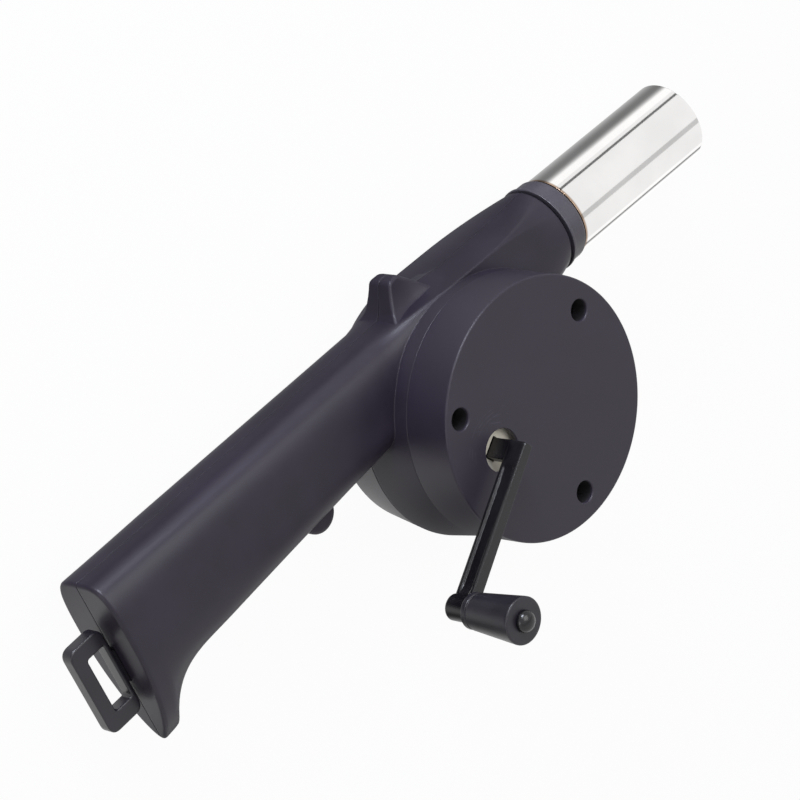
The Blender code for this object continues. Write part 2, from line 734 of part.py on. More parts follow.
def hanging_loop(finish):
    """Makes the loop at the butt, with a tang whose head sits inside the shells."""
    (near, far), half = LOOP_OUTER
    (hole_near, hole_far), hole_half = LOOP_HOLE
    thick = (SEAM_Z - LOOP_HALF_THICK, SEAM_Z + LOOP_HALF_THICK)
    thin = (SEAM_Z - TANG_HALF_THICK, SEAM_Z + TANG_HALF_THICK)
    loop = prism("hanging_loop", rounded_rectangle((-far, -near), (-half, half), 3.2), *thick)
    hole = prism("hole", rounded_rectangle((-hole_far, -hole_near), (-hole_half, hole_half), 1.2), -5, 40)
    tang = box("tang", (-near - 0.8, -TANG_HALF_WIDTH, thin[0]),
               (BUTT_WALL + 1.6, TANG_HALF_WIDTH, thin[1]))
    head = box("head", (BUTT_WALL + 0.6, -TANG_HEAD_HALF_WIDTH, thin[0]),
               (BUTT_WALL + 2.8, TANG_HEAD_HALF_WIDTH, thin[1]))
    cut(join(loop, tang, head), hole)
    loop.data.transform(Matrix.Rotation(atan(LOOP_LEAN), 4, "Z"))
    put_at = (BUTT_X - BUTT_LEAN * (LOOP_MID_Y - BUTT_LEAN_FROM_Y), LOOP_MID_Y)
    loop.data.transform(Matrix.Translation((MM * put_at[0], MM * put_at[1], 0)))
    return finished(loop, finish)


# Crank and knob

def crank_empty():
    """Places the empty that the crank's pieces turn with."""
    empty = bpy.data.objects.new("crank_axis", None)
    empty.location = (MM * CRANK_AXIS[0], MM * CRANK_AXIS[1], 0)
    empty.rotation_euler = (0, 0, radians(CRANK_ANGLE))
    bpy.context.scene.collection.objects.link(empty)
    return empty


def arm_size(along):
    """Returns the arm's half width, low side and high side at a distance along it."""
    part = (along + ARM_OVERSHOOT) / (CRANK_THROW + ARM_OVERSHOOT)
    return [first + (last - first) * part for first, last in (ARM_HALF_WIDTH, ARM_LOW, ARM_HIGH)]


def arm_ring(along):
    """Returns the arm's section at a distance along it, with small corners."""
    half_width, low, high = arm_size(along)
    outline = rounded_rectangle((-half_width, half_width), (low, high), 0.5, 2)
    return [(along, across, height) for across, height in outline]


def crank(parent, finish):
    """Makes the one-piece crank: shank, channelled arm, pin boss and snap pin."""
    handle = loft("crank", [arm_ring(along) for along in (-ARM_OVERSHOOT, CRANK_THROW)])
    for side in (-1, 1):
        rings = []
        for along in (ARM_OVERSHOOT + 2.2, CRANK_THROW - PIN_BOSS_R - 0.8):
            face, low, high = arm_size(along)
            across = sorted((side * (face - ARM_CHANNEL), side * (face + 2)))
            outline = rounded_rectangle(across, (low + ARM_FLANGE, high - ARM_FLANGE), 0.3, 2)
            rings.append([(along, a, height) for a, height in outline])
        cut(handle, loft("channel", rings))
    (long_half, thin_half) = SHANK_HALF
    shank = prism("shank", rounded_rectangle((-long_half, long_half), (-thin_half, thin_half), 0.4, 2),
                  SHANK_LOW, ARM_HIGH[0] - 0.9)
    low, high = ARM_LOW[1] - 0.7, KNOB_Z[0] - GAP
    pin = [(0, low), (PIN_BOSS_R - 0.6, low), (PIN_BOSS_R, low + 0.6), (PIN_BOSS_R, high - 0.4),
           (PIN_BOSS_R - 0.4, high), (PIN_R, high)]
    dome_low = KNOB_Z[1] + GAP
    pin += [(PIN_R, dome_low), (DOME_R, dome_low)]
    pin += [(DOME_R * cos(radians(a)), dome_low + 0.4 + DOME_RISE * sin(radians(a)))
            for a in (0, 25, 50, 72)]
    pin.append((0, dome_low + 0.4 + DOME_RISE))
    join(handle, shank, turned("pin", pin, (CRANK_THROW, 0), segments=FINE))
    bore = rod("screw_bore", SCREW_BORE - 0.1, SHANK_LOW - 1, SHANK_LOW + 8)
    finished(cut(handle, bore), finish)
    handle.parent = parent
    return handle


def knob(parent, finish):
    """Makes the tapered grip that turns on the crank's pin, with a grooved inner end."""
    low, high = KNOB_Z
    small, large = KNOB_R
    profile = [(KNOB_BORE, low), (small - 0.4, low), (small, low + 0.4), (small, low + 1.6),
               (small - 0.35, low + 1.8), (small - 0.35, low + 2.3), (small + 0.1, low + 2.5),
               (large - 0.1, high - 1.0), (large, high - 0.7), (large - 0.15, high - 0.2),
               (large - 0.5, high), (KNOB_BORE, high)]
    grip = finished(turned("knob", profile, segments=FINE + 8), finish)
    grip.location = (MM * CRANK_THROW, 0, 0)
    grip.parent = parent
    return grip


# Gears

def crank_gear(parent, finish):
    """Makes the large gear that the crank's shank is screwed into."""
    low, high = CRANK_GEAR_Z
    phase = -radians(CRANK_ANGLE)
    gear = prism("crank_gear", gear_outline(CRANK_TEETH, (0, 0), phase), low, high)
    rim = MODULE * CRANK_TEETH / 2 - DEDENDUM - 1.4
    hub = [(0, low + 0.4), (CRANK_HUB_R, low + 0.4), (CRANK_HUB_R, CRANK_HUB_TOP - 0.4),
           (CRANK_HUB_R - 0.4, CRANK_HUB_TOP), (0, CRANK_HUB_TOP)]
    join(gear, turned("hub", hub, segments=FINE + 4))
    cut(gear, pipe("dish", CRANK_HUB_R, rim, high - 1.0, high + 1, segments=FINE + 4),
        pipe("dish", 5.6, rim, low - 1, low + 0.8, segments=FINE + 4))
    wide, narrow = CRANK_POST_R + RUNNING, SCREW_PASS - 0.2
    bore = [(0, low - 1), (wide, low - 1), (wide, GEAR_BORE_TOP), (narrow, GEAR_BORE_TOP),
            (narrow, GEAR_SOCKET_LOW + 1), (0, GEAR_SOCKET_LOW + 1)]
    x_half, y_half = (half + GAP for half in SHANK_HALF)
    outline = rounded_rectangle((-x_half, x_half), (-y_half, y_half), 0.5, 2)
    socket = prism("socket", outline, GEAR_SOCKET_LOW, CRANK_HUB_TOP + 1)
    cut(gear, turned("bore", bore, segments=FINE), socket)
    finished(gear, finish)
    gear.parent = parent
    return gear


def idler_gear(finish):
    """Makes the double gear between the crank's gear and the fan's pinion."""
    centre = idler_centre()
    low, high = IDLER_GEAR_Z
    pinion_phase = mesh_phase(CRANK_AXIS, CRANK_TEETH, 0.0, centre, IDLER_PINION_TEETH)
    gear = prism("idler_gear", gear_outline(IDLER_TEETH, centre, 0.0), low, high)
    rim = MODULE * IDLER_TEETH / 2 - DEDENDUM - 1.4
    cut(gear, pipe("dish", 5.4, rim, high - 0.9, high + 1, centre, segments=FINE + 4))
    teeth = gear_outline(IDLER_PINION_TEETH, centre, pinion_phase)
    join(gear, prism("pinion", teeth, low + 1, IDLER_PINION_TOP))
    cut(gear, rod("bore", SHAFT_R + RUNNING, low - 1, IDLER_PINION_TOP + 1, centre, segments=FINE))
    return finished(put_origin(gear, *centre, 0), finish)


def fan_pinion(finish):
    """Makes the pinion on the fan's shaft."""
    centre = idler_centre()
    phase = mesh_phase(centre, IDLER_TEETH, 0.0, (0, 0), FAN_PINION_TEETH)
    pinion = prism("fan_pinion", gear_outline(FAN_PINION_TEETH, (0, 0), phase), *FAN_PINION_Z)
    cut(pinion, rod("bore", SHAFT_R + RUNNING, 30, 40, segments=FINE))
    return finished(pinion, finish)


# Fan

def blade_outline(step):
    """Returns one swept blade's outline, an arc strip of even thickness."""
    start = 2 * pi * step / BLADE_COUNT
    sides = ([], [])
    for part in (0.0, 0.25, 0.5, 0.75, 1.0):
        radius = IMPELLER_EYE_R + (IMPELLER_R - 0.4 - IMPELLER_EYE_R) * part
        turn = start + BLADE_SWEEP * part ** 1.3
        for side, points in zip((-1, 1), sides):
            angle = turn + side * BLADE_THICK / 2 / radius
            points.append((radius * cos(angle), radius * sin(angle)))
    return sides[0] + list(reversed(sides[1]))


def impeller(finish):
    """Makes the centrifugal wheel: hub, back plate and blades that face the intake."""
    low, high = BLADE_Z
    plate = [(0, low - 0.6), (5.0, low - 0.6), (5.4, low + 4), (7.5, high - 3), (11, high - 0.4),
             (IMPELLER_R, high - 0.4), (IMPELLER_R, high + 1.0), (4.4, high + 1.0), (4.4, high + 1.8),
             (0, high + 1.8)]
    wheel = turned("impeller", plate, segments=INSIDE)
    blades = [prism("blade", blade_outline(step), low, high + 0.3) for step in range(BLADE_COUNT)]
    join(wheel, merged("blades", blades))
    cut(wheel, rod("bore", SHAFT_R + RUNNING, 0, 40, segments=FINE))
    return finished(wheel, finish)


def fan_shaft(finish):
    """Makes the fan's steel shaft with chamfered ends."""
    low, high = FAN_SHAFT_Z
    profile = [(0, low), (SHAFT_R - 0.3, low), (SHAFT_R, low + 0.3), (SHAFT_R, high - 0.3),
               (SHAFT_R - 0.3, high), (0, high)]
    return finished(turned("fan_shaft", profile, segments=FINE), finish)


def bushes(finish):
    """Makes the two brass bushes of the fan's shaft."""
    bore = SHAFT_R + RUNNING
    low, high = FAR_BUSH_Z
    far = pipe("intake_bush", bore, BUSH_R, low, high, segments=FINE)
    flange = DECK_LOW - GAP
    near = turned("deck_bush", [(bore, flange - 0.9), (BUSH_FLANGE_R, flange - 0.9), (BUSH_FLANGE_R, flange),
                                (BUSH_R, flange), (BUSH_R, DECK_TOP + 0.4), (bore, DECK_TOP + 0.4)],
                  segments=FINE)
    return [finished(far, finish), finished(near, finish)]


def axle_and_washers(steel, nylon):
    """Makes the idler's fixed axle and the thrust washers of the idler and the fan."""
    centre = idler_centre()
    axle = rod("idler_axle", SHAFT_R, DECK_LOW + 1.1, COVER_TOP - COVER_SKIN - 0.6, centre, segments=FINE)
    bore = SHAFT_R + RUNNING
    high = IDLER_PINION_TOP + GAP
    idler = pipe("idler_washer", bore, 2.9, high, high + 0.7, centre, segments=FINE)
    fan = pipe("fan_washer", bore, 3.4, BLADE_Z[1] + 2.1, BLADE_Z[1] + 2.8, segments=FINE)
    put_origin(idler, *centre, 0)
    return [finished(axle, steel), finished(idler, nylon), finished(fan, nylon)]


# Screws

def screw(name, place, seat, tip, finish, head_r=SCREW_HEAD_R):
    """Makes a pan-head screw whose head rests at seat and whose point is at tip."""
    down = 1 if tip < seat else -1
    under = seat + down * GAP
    top = under + down * SCREW_HEAD
    profile = [(0, top), (head_r * 0.75, top - down * 0.25), (head_r, top - down * 0.9), (head_r, under),
               (SCREW_SHANK_R, under), (SCREW_SHANK_R, tip + down * 1.6), (0, tip)]
    return finished(turned(name, profile, place, segments=SMALL), finish)


def fasteners(parent, finish):
    """Makes the cover screws, the shell screws and the screw that holds the crank in its gear."""
    for number, place in enumerate(COVER_SCREWS, 1):
        screw(f"cover_screw_{number}", place, RECESS_FLOOR, DECK_TOP + 2.2, finish)
    for number, place in enumerate(SHELL_SCREWS, 1):
        screw(f"shell_screw_{number}", place, SHELL_SEAT_Z, SHELL_SCREW_TIP, finish)
    crank_screw = screw("crank_screw", (0, 0), GEAR_BORE_TOP, SHANK_LOW + 7, finish)
    crank_screw.parent = parent


def main():
    """Clears the scene and builds every piece."""
    for item in list(bpy.data.objects):
        bpy.data.objects.remove(item)
    black = material("black_plastic", (0.021, 0.020, 0.023), 0.42)
    crank_black = material("crank_plastic", (0.012, 0.012, 0.014), 0.28)
    nylon = material("cream_nylon", (0.78, 0.74, 0.64), 0.45)
    dark = material("fan_plastic", (0.05, 0.05, 0.055), 0.5)
    polished = material("polished_steel", (0.80, 0.79, 0.78), 0.10, 1.0)
    steel = material("zinc_steel", (0.62, 0.62, 0.63), 0.30, 1.0)
    brass = material("sintered_brass", (0.62, 0.47, 0.22), 0.40, 1.0)

    whole = casing()
    intake_shell(whole, black)
    drive_shell(whole, black)
    bpy.data.objects.remove(whole)
    gearbox_cover(black)
    nozzle_collar(black)
    nozzle_tube(polished)
    hanging_loop(crank_black)

    turning = crank_empty()
    crank(turning, crank_black)
    knob(turning, crank_black)
    crank_gear(turning, nylon)
    idler_gear(nylon)
    fan_pinion(nylon)
    impeller(dark)
    fan_shaft(steel)
    bushes(brass)
    axle_and_washers(steel, nylon)
    fasteners(turning, steel)


main()
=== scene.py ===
"""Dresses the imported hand-cranked air blower with its finished surfaces, materials, studio and camera.

The blower lies on its air-intake side with the crank on top. X runs along the grip towards the nozzle, Y towards
the thumb rest and Z along the fan's shaft. Sizes are in millimetres and become metres where a mesh is made.
"""

import logging
from dataclasses import dataclass
from enum import Enum
from typing import Any, Mapping, Sequence

import bmesh
import bpy
import numpy as np
from mathutils import Matrix


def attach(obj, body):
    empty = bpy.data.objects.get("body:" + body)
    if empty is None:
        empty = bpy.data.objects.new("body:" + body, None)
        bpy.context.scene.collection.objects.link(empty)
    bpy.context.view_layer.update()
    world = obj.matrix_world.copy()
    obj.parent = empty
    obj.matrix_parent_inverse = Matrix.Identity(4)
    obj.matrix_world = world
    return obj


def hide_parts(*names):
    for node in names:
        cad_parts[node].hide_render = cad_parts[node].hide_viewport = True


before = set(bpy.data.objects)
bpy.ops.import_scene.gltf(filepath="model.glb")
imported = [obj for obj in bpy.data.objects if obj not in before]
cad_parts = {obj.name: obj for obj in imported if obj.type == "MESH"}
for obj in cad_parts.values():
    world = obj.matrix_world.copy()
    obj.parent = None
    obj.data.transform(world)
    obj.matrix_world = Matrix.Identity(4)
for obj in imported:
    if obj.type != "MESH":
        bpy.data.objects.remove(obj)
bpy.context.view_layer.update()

LOG = logging.getLogger("air_blower")
MM = 0.001
FULL_TURN = 2 * np.pi
Array = np.ndarray
Body = bpy.types.Object
Point = tuple[float, float]
Triple = tuple[float, float, float]
Colour = Triple

# Places that several pieces share, in millimetres
SEAM = 17.2
TUBE_HEIGHT = 29.0
BUTT_LEAN = 0.06
CRANK_AXIS: Point = (-20.4, -1.1)
IDLER_AXIS: Point = (-8.699, -15.3)
COVER_SCREWS: tuple[Point, ...] = ((26.1, 18.2), (-30.2, 16.3), (2.5, -31.7))
SHELL_SCREWS: tuple[Point, ...] = ((-128.0, 16.0), (-62.0, 20.0), (-31.0, 31.0), (-21.795, -27.896),
                                   (27.896, -21.795))

# Heights of the screws' seats, and radii of their bores and of the axle's
SHELL_SEAT, COVER_SEAT, CRANK_SEAT = 8.0, 44.2, 43.0
CLEARANCE_BORE, PILOT_BORE, AXLE_BORE = 1.7, 1.45, 1.6


class Axis(Enum):
    """The direction that a turned piece is turned about."""

    X = "along the nozzle"
    Z = "along the fan's shaft"


class Operation(Enum):
    """How one closed body changes another."""

    JOIN = "UNION"
    CUT = "DIFFERENCE"


# Mesh building


def linked(name: str, data: bpy.types.ID) -> Body:
    """Makes an object of some data and links it to the scene."""
    made = bpy.data.objects.new(name, data)
    bpy.context.scene.collection.objects.link(made)
    return made


def carried(piece: Body, place: Point, angle: float) -> Body:
    """Turns a piece about Z by an angle in radians and moves it to a place."""
    turn = Matrix.Rotation(angle, 4, "Z")
    piece.data.transform(Matrix.Translation((place[0] * MM, place[1] * MM, 0)) @ turn)
    return piece


def quads(rows: int, columns: int, wrap: bool) -> Array:
    """Returns the four corner indices of every cell of a grid of points.

    Args:
        rows: The number of rows of points.
        columns: The number of points in a row.
        wrap: Whether the last column joins the first.
    """
    index = np.arange(rows * columns).reshape(rows, columns)
    if wrap:
        index = np.concatenate([index, index[:, :1]], axis=1)
    cells = [index[:-1, :-1], index[:-1, 1:], index[1:, 1:], index[1:, :-1]]
    return np.stack(cells, axis=-1).reshape(-1, 4)


def solid(name: str, points: Array, faces: list[list[int]], sharp: float = 30.0) -> Body:
    """Makes an object with faces that point outwards, smooth but for edges that are sharper than an angle.

    Args:
        name: The object's name.
        points: Places in millimetres, one a row.
        faces: The corner indices of every face.
        sharp: The angle in degrees past which an edge stays sharp.
    """
    mesh = bpy.data.meshes.new(name)
    mesh.from_pydata((points * MM).tolist(), [], faces)
    return settled(linked(name, mesh), sharp)


def settled(made: Body, sharp: float = 30.0) -> Body:
    """Merges doubles, turns every face outwards and marks the sharp edges."""
    shape = bmesh.new()
    shape.from_mesh(made.data)
    bmesh.ops.remove_doubles(shape, verts=shape.verts, dist=2e-6)
    bmesh.ops.recalc_face_normals(shape, faces=shape.faces)
    shape.to_mesh(made.data)
    shape.free()
    made.data.shade_smooth()
    made.data.set_sharp_from_angle(angle=np.radians(sharp))
    return made


def lofted(name: str, rings: Array, sharp: float = 30.0, closed: bool = False) -> Body:
    """Makes a body from closed rings of points, capped flat at both ends.

    Args:
        name: The object's name.
        rings: Points in millimetres, as ring, place in the ring, and X, Y and Z.
        sharp: The angle in degrees past which an edge stays sharp.
        closed: Whether the last ring joins the first, as on a hoop, so that nothing is capped.
    """
    rows, columns = rings.shape[:2]
    if closed:
        rings = np.concatenate([rings, rings[:1]])
        return solid(name, rings.reshape(-1, 3), quads(rows + 1, columns, True).tolist(), sharp)
    faces = quads(rows, columns, True).tolist()
    faces += [list(range(columns)), list(range((rows - 1) * columns, rows * columns))]
    return solid(name, rings.reshape(-1, 3), faces, sharp)


def eased(corners: Sequence[Triple], steps: int = 5, closed: bool = False) -> Array:
    """Rounds the corners of an outline.

    Each corner (a, b, reach) with a reach becomes a quadratic curve. It leaves one side and joins the next at that
    distance from the corner, or at less than half of a short side.

    Args:
        corners: The outline's corners, each with its reach in millimetres.
        steps: The number of points in a rounded corner, less one.
        closed: Whether the last corner joins the first.
    """
    places = np.array([corner[:2] for corner in corners], float)
    count = len(places)
    outline = []
    for step, (corner, reach) in enumerate(zip(places, [corner[2] for corner in corners])):
        if reach == 0 or (not closed and step in (0, count - 1)):
            outline.append(corner[None, :])
            continue
        ends = []
        for other in (places[step - 1], places[(step + 1) % count]):
            side = other - corner
            length = np.hypot(*side)
            ends.append(corner + side / length * min(reach, 0.49 * length))
        part = np.linspace(0, 1, steps + 1)[:, None]
        outline.append((1 - part) ** 2 * ends[0] + 2 * part * (1 - part) * corner + part ** 2 * ends[1])
    return np.concatenate(outline)


def turned(name: str, profile: Array, centre: Point = (0.0, 0.0), axis: Axis = Axis.Z, segments: int = 96,
           sharp: float = 30.0) -> Body:
    """Turns a profile about an axis, so that a point (r, h) goes to (r cos t, r sin t, h) for every turn t.

    A profile that starts and ends at radius 0 makes a full body, and any other is closed into a ring.

    Args:
        name: The object's name.
        profile: Radii and heights in millimetres.
        centre: Where the axis passes, as X and Y, or as Y and Z for an axis along X.
        axis: The direction of the axis.
        segments: The number of steps round.
        sharp: The angle in degrees past which an edge stays sharp.
    """
    full = profile[0, 0] == 0 and profile[-1, 0] == 0
    if not full:
        profile = np.concatenate([profile, profile[:1]])
    turn = np.linspace(0, FULL_TURN, segments, endpoint=False)
    radius, height = profile[:, :1], np.repeat(profile[:, 1:], segments, axis=1)
    first, second = centre[0] + radius * np.cos(turn), centre[1] + radius * np.sin(turn)
    order = (first, second, height) if axis is Axis.Z else (height, first, second)
    points = np.stack(order, axis=-1)
    return solid(name, points.reshape(-1, 3), quads(len(profile), segments, True).tolist(), sharp)


def rod(name: str, radius: float, low: float, high: float, centre: Point = (0.0, 0.0), axis: Axis = Axis.Z,
        segments: int = 40) -> Body:
    """Makes a plain cylinder between two heights."""
    profile = np.array([(0, low), (radius, low), (radius, high), (0, high)], float)
    return turned(name, profile, centre, axis, segments)


def hoop(name: str, radii: Point, low: float, high: float, centre: Point = (0.0, 0.0), segments: int = 96) -> Body:
    """Makes a plain ring between two radii and two heights."""
    inner, outer = radii
    profile = np.array([(inner, low), (outer, low), (outer, high), (inner, high)], float)
    return turned(name, profile, centre, segments=segments)


def extruded(name: str, outline: Array, low: float, high: float, sharp: float = 30.0) -> Body:
    """Extrudes an outline in X and Y from one height to another."""
    rings = [np.column_stack([outline, np.full(len(outline), height)]) for height in (low, high)]
    return lofted(name, np.stack(rings), sharp)


def rectangle(x_range: Point, y_range: Point, reach: float = 0.0, steps: int = 5) -> Array:
    """Returns a rectangle's outline with rounded corners."""
    corners = [(x_range[1], y_range[1]), (x_range[0], y_range[1]), (x_range[0], y_range[0]), (x_range[1], y_range[0])]
    return eased([(x, y, reach) for x, y in corners], steps, closed=True)


def together(name: str, pieces: Sequence[Body]) -> Body:
    """Puts separate closed bodies into one object."""
    shape = bmesh.new()
    for piece in pieces:
        shape.from_mesh(piece.data)
        bpy.data.objects.remove(piece)
    mesh = bpy.data.meshes.new(name)
    shape.to_mesh(mesh)
    shape.free()
    return linked(name, mesh)


def worked(target: Body, operation: Operation, *tools: Body) -> Body:
    """Joins tools to a body or cuts them out of it, which uses them up."""
    for tool in tools:
        modifier = target.modifiers.new("work", "BOOLEAN")
        modifier.operation, modifier.solver, modifier.object = operation.value, "EXACT", tool
        graph = bpy.context.evaluated_depsgraph_get()
        result = bpy.data.meshes.new_from_object(target.evaluated_get(graph))
        target.modifiers.clear()
        target.data = result
        bpy.data.objects.remove(tool)
    return target


def kept_side(target: Body, height: float, side: int) -> Body:
    """Parts a body at a height, keeps the upper (1) or lower (-1) part and closes the cut.

    Args:
        target: The body to part.
        height: The height of the cut in millimetres.
        side: Which part is kept.
    """
    shape = bmesh.new()
    shape.from_mesh(target.data)
    parted = bmesh.ops.bisect_plane(shape, geom=[*shape.verts, *shape.edges, *shape.faces], dist=1e-7,
                                    plane_co=(0, 0, height * MM), plane_no=(0, 0, side), clear_inner=True)
    rim = [item for item in parted["geom_cut"] if isinstance(item, bmesh.types.BMEdge)]
    bmesh.ops.triangle_fill(shape, use_beauty=True, use_dissolve=False, edges=rim, normal=(0, 0, -side))
    shape.to_mesh(target.data)
    shape.free()
    return target


def eased_step(value: Array | float, low: float, high: float) -> Array:
    """Returns how far a value is from low to high, as 3p^2 - 2p^3 of the plain part p."""
    part = np.clip((np.asarray(value, float) - low) / (high - low), 0, 1)
    return part * part * (3 - 2 * part)


# Shader building


class Value:
    """A socket in a shader expression. Its operators add Math nodes."""

    def __init__(self, graph: "Graph", socket: bpy.types.NodeSocket) -> None:
        """Wraps a socket of a graph."""
        self.graph = graph
        self.socket = socket

    def maths(self, operation: str, *others: "Value | float") -> "Value":
        """Adds a Math node that starts with this value."""
        inputs = dict(enumerate((self, *others)))
        return self.graph.add("ShaderNodeMath", {"operation": operation}, inputs)

    def __add__(self, other: "Value | float") -> "Value":
        """Adds."""
        return self.maths("ADD", other)

    def __sub__(self, other: "Value | float") -> "Value":
        """Subtracts."""
        return self.maths("SUBTRACT", other)

    def __rsub__(self, other: float) -> "Value":
        """Subtracts this value from a number."""
        return (self * -1.0).maths("ADD", other)

    def __mul__(self, other: "Value | float") -> "Value":
        """Multiplies."""
        return self.maths("MULTIPLY", other)

    __radd__ = __add__
    __rmul__ = __mul__

    def size(self) -> "Value":
        """Returns the absolute value."""
        return self.maths("ABSOLUTE")

    def over(self, low: float, high: float) -> "Value":
        """Returns a smooth step from 0 at low to 1 at high."""
        settings = {"interpolation_type": "SMOOTHSTEP"}
        return self.graph.add("ShaderNodeMapRange", settings, {"Value": self, "From Min": low, "From Max": high})

    def under(self, low: float, high: float) -> "Value":
        """Returns a smooth step from 1 at low to 0 at high."""
        return 1.0 - self.over(low, high)


class Graph:
    """The node graph of one material, or of the world."""

    def __init__(self, name: str = "", tree: bpy.types.NodeTree | None = None) -> None:
        """Starts a material with a Principled shader, or works on a tree that is there.

        Args:
            name: The new material's name.
            tree: The world's tree, where no material is made.
        """
        if tree is None:
            self.material = bpy.data.materials.new(name)
            self.material.use_nodes = True
            tree = self.material.node_tree
            self.shader = tree.nodes["Principled BSDF"]
        self.nodes = tree.nodes
        self.links = tree.links

    def add(self, kind: str, settings: Mapping[str, Any] | None = None,
            inputs: Mapping[int | str, Any] | None = None, output: int | str = 0) -> Value:
        """Adds a node.

        Args:
            kind: The node's type.
            settings: Its properties, which are set first.
            inputs: The numbers, colours or values of its sockets, by name or place.
            output: The output that is wanted.

        Returns:
            The wanted output.
        """
        node = self.nodes.new(kind)
        for key, setting in (settings or {}).items():
            setattr(node, key, setting)
        for key, value in (inputs or {}).items():
            self.feed(node.inputs[key], value)
        return Value(self, node.outputs[output])

    def feed(self, socket: bpy.types.NodeSocket, value: Any) -> None:
        """Links a value to a socket, or sets a number or colour on it."""
        if isinstance(value, Value):
            self.links.new(value.socket, socket)
        else:
            socket.default_value = value

    def place(self, centre: Sequence[float] = (0, 0, 0), stretch: Sequence[float] = (1, 1, 1)) -> Value:
        """Returns Object coordinates in millimetres from a centre, stretched along each axis."""
        coordinates = self.add("ShaderNodeTexCoord", output="Object")
        scale = [1000.0 * part for part in stretch]
        moved = [-1.0 * place * part for place, part in zip(centre, stretch)]
        return self.add("ShaderNodeMapping", inputs={"Vector": coordinates, "Scale": scale, "Location": moved})

    def parts(self, vector: Value) -> list[Value]:
        """Splits a vector into X, Y and Z."""
        whole = self.add("ShaderNodeSeparateXYZ", inputs={"Vector": vector})
        return [Value(self, output) for output in whole.socket.node.outputs]

    def around(self, axis: Point) -> list[Value]:
        """Returns X, Y and Z from an upright axis, and the distance from it."""
        across, along, height = self.parts(self.place((*axis, 0.0)))
        return [across, along, height, (across * across + along * along).maths("SQRT")]

    def glowing(self, strength: Value | float) -> Value:
        """Returns a shader that gives off white light."""
        return self.add("ShaderNodeEmission", inputs={"Color": (1, 1, 1, 1), "Strength": strength})

    def surface(self, shader: Value) -> None:
        """Makes a shader the material's surface."""
        self.feed(self.nodes["Material Output"].inputs["Surface"], shader)

    def dress(self, values: Mapping[str, Any]) -> None:
        """Feeds the Principled shader's sockets by name."""
        for socket, value in values.items():
            self.feed(self.shader.inputs[socket], value)

    def noise(self, grain: float, detail: float = 2.0, stretch: Sequence[float] = (1, 1, 1)) -> Value:
        """Returns cloudy noise from 0 to 1, with its grain's size in millimetres."""
        place = self.place(stretch=stretch)
        return self.add("ShaderNodeTexNoise", inputs={"Vector": place, "Scale": 1.0 / grain, "Detail": detail})

    def blend(self, mask: Value, first: Colour | Value, second: Colour | Value) -> Value:
        """Mixes two colours by a mask."""
        colours = [(*colour, 1.0) if isinstance(colour, tuple) else colour for colour in (first, second)]
        return self.add("ShaderNodeMix", {"data_type": "RGBA"}, {0: mask, 6: colours[0], 7: colours[1]}, 2)

    def relief(self, height: Value, depth: float, edge: float = 0.0) -> Value:
        """Returns a normal with a bumpy surface, and with rounded edges where edge isn't 0.

        Args:
            height: The relief from 0 to 1.
            depth: The relief's depth in millimetres.
            edge: The radius in millimetres to which edges and corners look rounded.
        """
        inputs = {"Height": height, "Distance": depth * MM, "Strength": 1.0}
        if edge:
            inputs["Normal"] = self.add("ShaderNodeBevel", {"samples": 6}, {"Radius": edge * MM})
        return self.add("ShaderNodeBump", inputs=inputs)


@dataclass(frozen=True)
class Finish:
    """A surface finish with its colour, gloss, grain and slight unevenness."""

    name: str
    slot: str
    colour: Colour
    roughness: float
    metallic: float = 0.0
    specular: float = 0.5
    grain: float = 0.35
    grain_depth: float = 0.0
    cloud: float = 14.0
    unevenness: float = 0.05
    shade: float = 0.12
    edge: float = 0.0
    stretch: Triple = (1.0, 1.0, 1.0)
    cloud_range: Point = (0.3, 0.7)
    # The share of the colour that is left where shade is painted in deep places
    painted_shade_share: float = 0.15
    deep_rough: float = 0.5
    mark_lift: Point = (3.0, 0.04)
    mark_rough: float = 0.12

    def shaded(self, factor: float, lift: float = 0.0) -> Colour:
        """Returns the colour times a factor, plus a lift."""
        return tuple(min(part * factor + lift, 1.0) for part in self.colour)

    def marks(self, graph: Graph) -> Value | None:
        """Returns a mask of pale marks, or nothing for a surface without them."""
        return None

    def tint(self, graph: Graph, base: Value) -> Value:
        """Returns the base colour with what else changes over the surface."""
        return base

    def painted_shade(self, graph: Graph) -> Value | None:
        """Returns a mask of deep places where shade is painted, or nothing for a surface without them."""
        return None

    def material(self) -> bpy.types.Material:
        """Makes the material, once: a clouded colour, an uneven gloss, a fine grain, any painted shade in deep places
        and any marks.
        """
        name = f"{self.name}_finish"
        known = bpy.data.materials.get(name)
        if known:
            return known
        graph = Graph(name)
        cloud = graph.noise(self.cloud, 3.0)
        fine = graph.noise(self.grain, 2.0, self.stretch)
        cloudy = graph.blend(cloud.over(*self.cloud_range), self.shaded(1 - self.shade), self.shaded(1 + self.shade))
        colour = self.tint(graph, cloudy)
        rough = (cloud - 0.5) * self.unevenness * 2.0 + (fine - 0.5) * self.unevenness + self.roughness
        # Painted shade: deep places are darkened to a share of the colour, and made rougher
        depth = self.painted_shade(graph)
        if depth:
            colour = graph.blend(depth, colour, self.shaded(self.painted_shade_share))
            rough = rough + depth * self.deep_rough
        marks = self.marks(graph)
        if marks:
            colour = graph.blend(marks, colour, self.shaded(*self.mark_lift))
            rough = rough + marks * self.mark_rough
        graph.dress({"Base Color": colour, "Roughness": rough, "Metallic": self.metallic,
                     "Specular IOR Level": self.specular})
        if self.grain_depth or self.edge:
            graph.dress({"Normal": graph.relief(fine, self.grain_depth, self.edge)})
        graph.material.diffuse_color = (*self.colour, 1.0)
        return graph.material


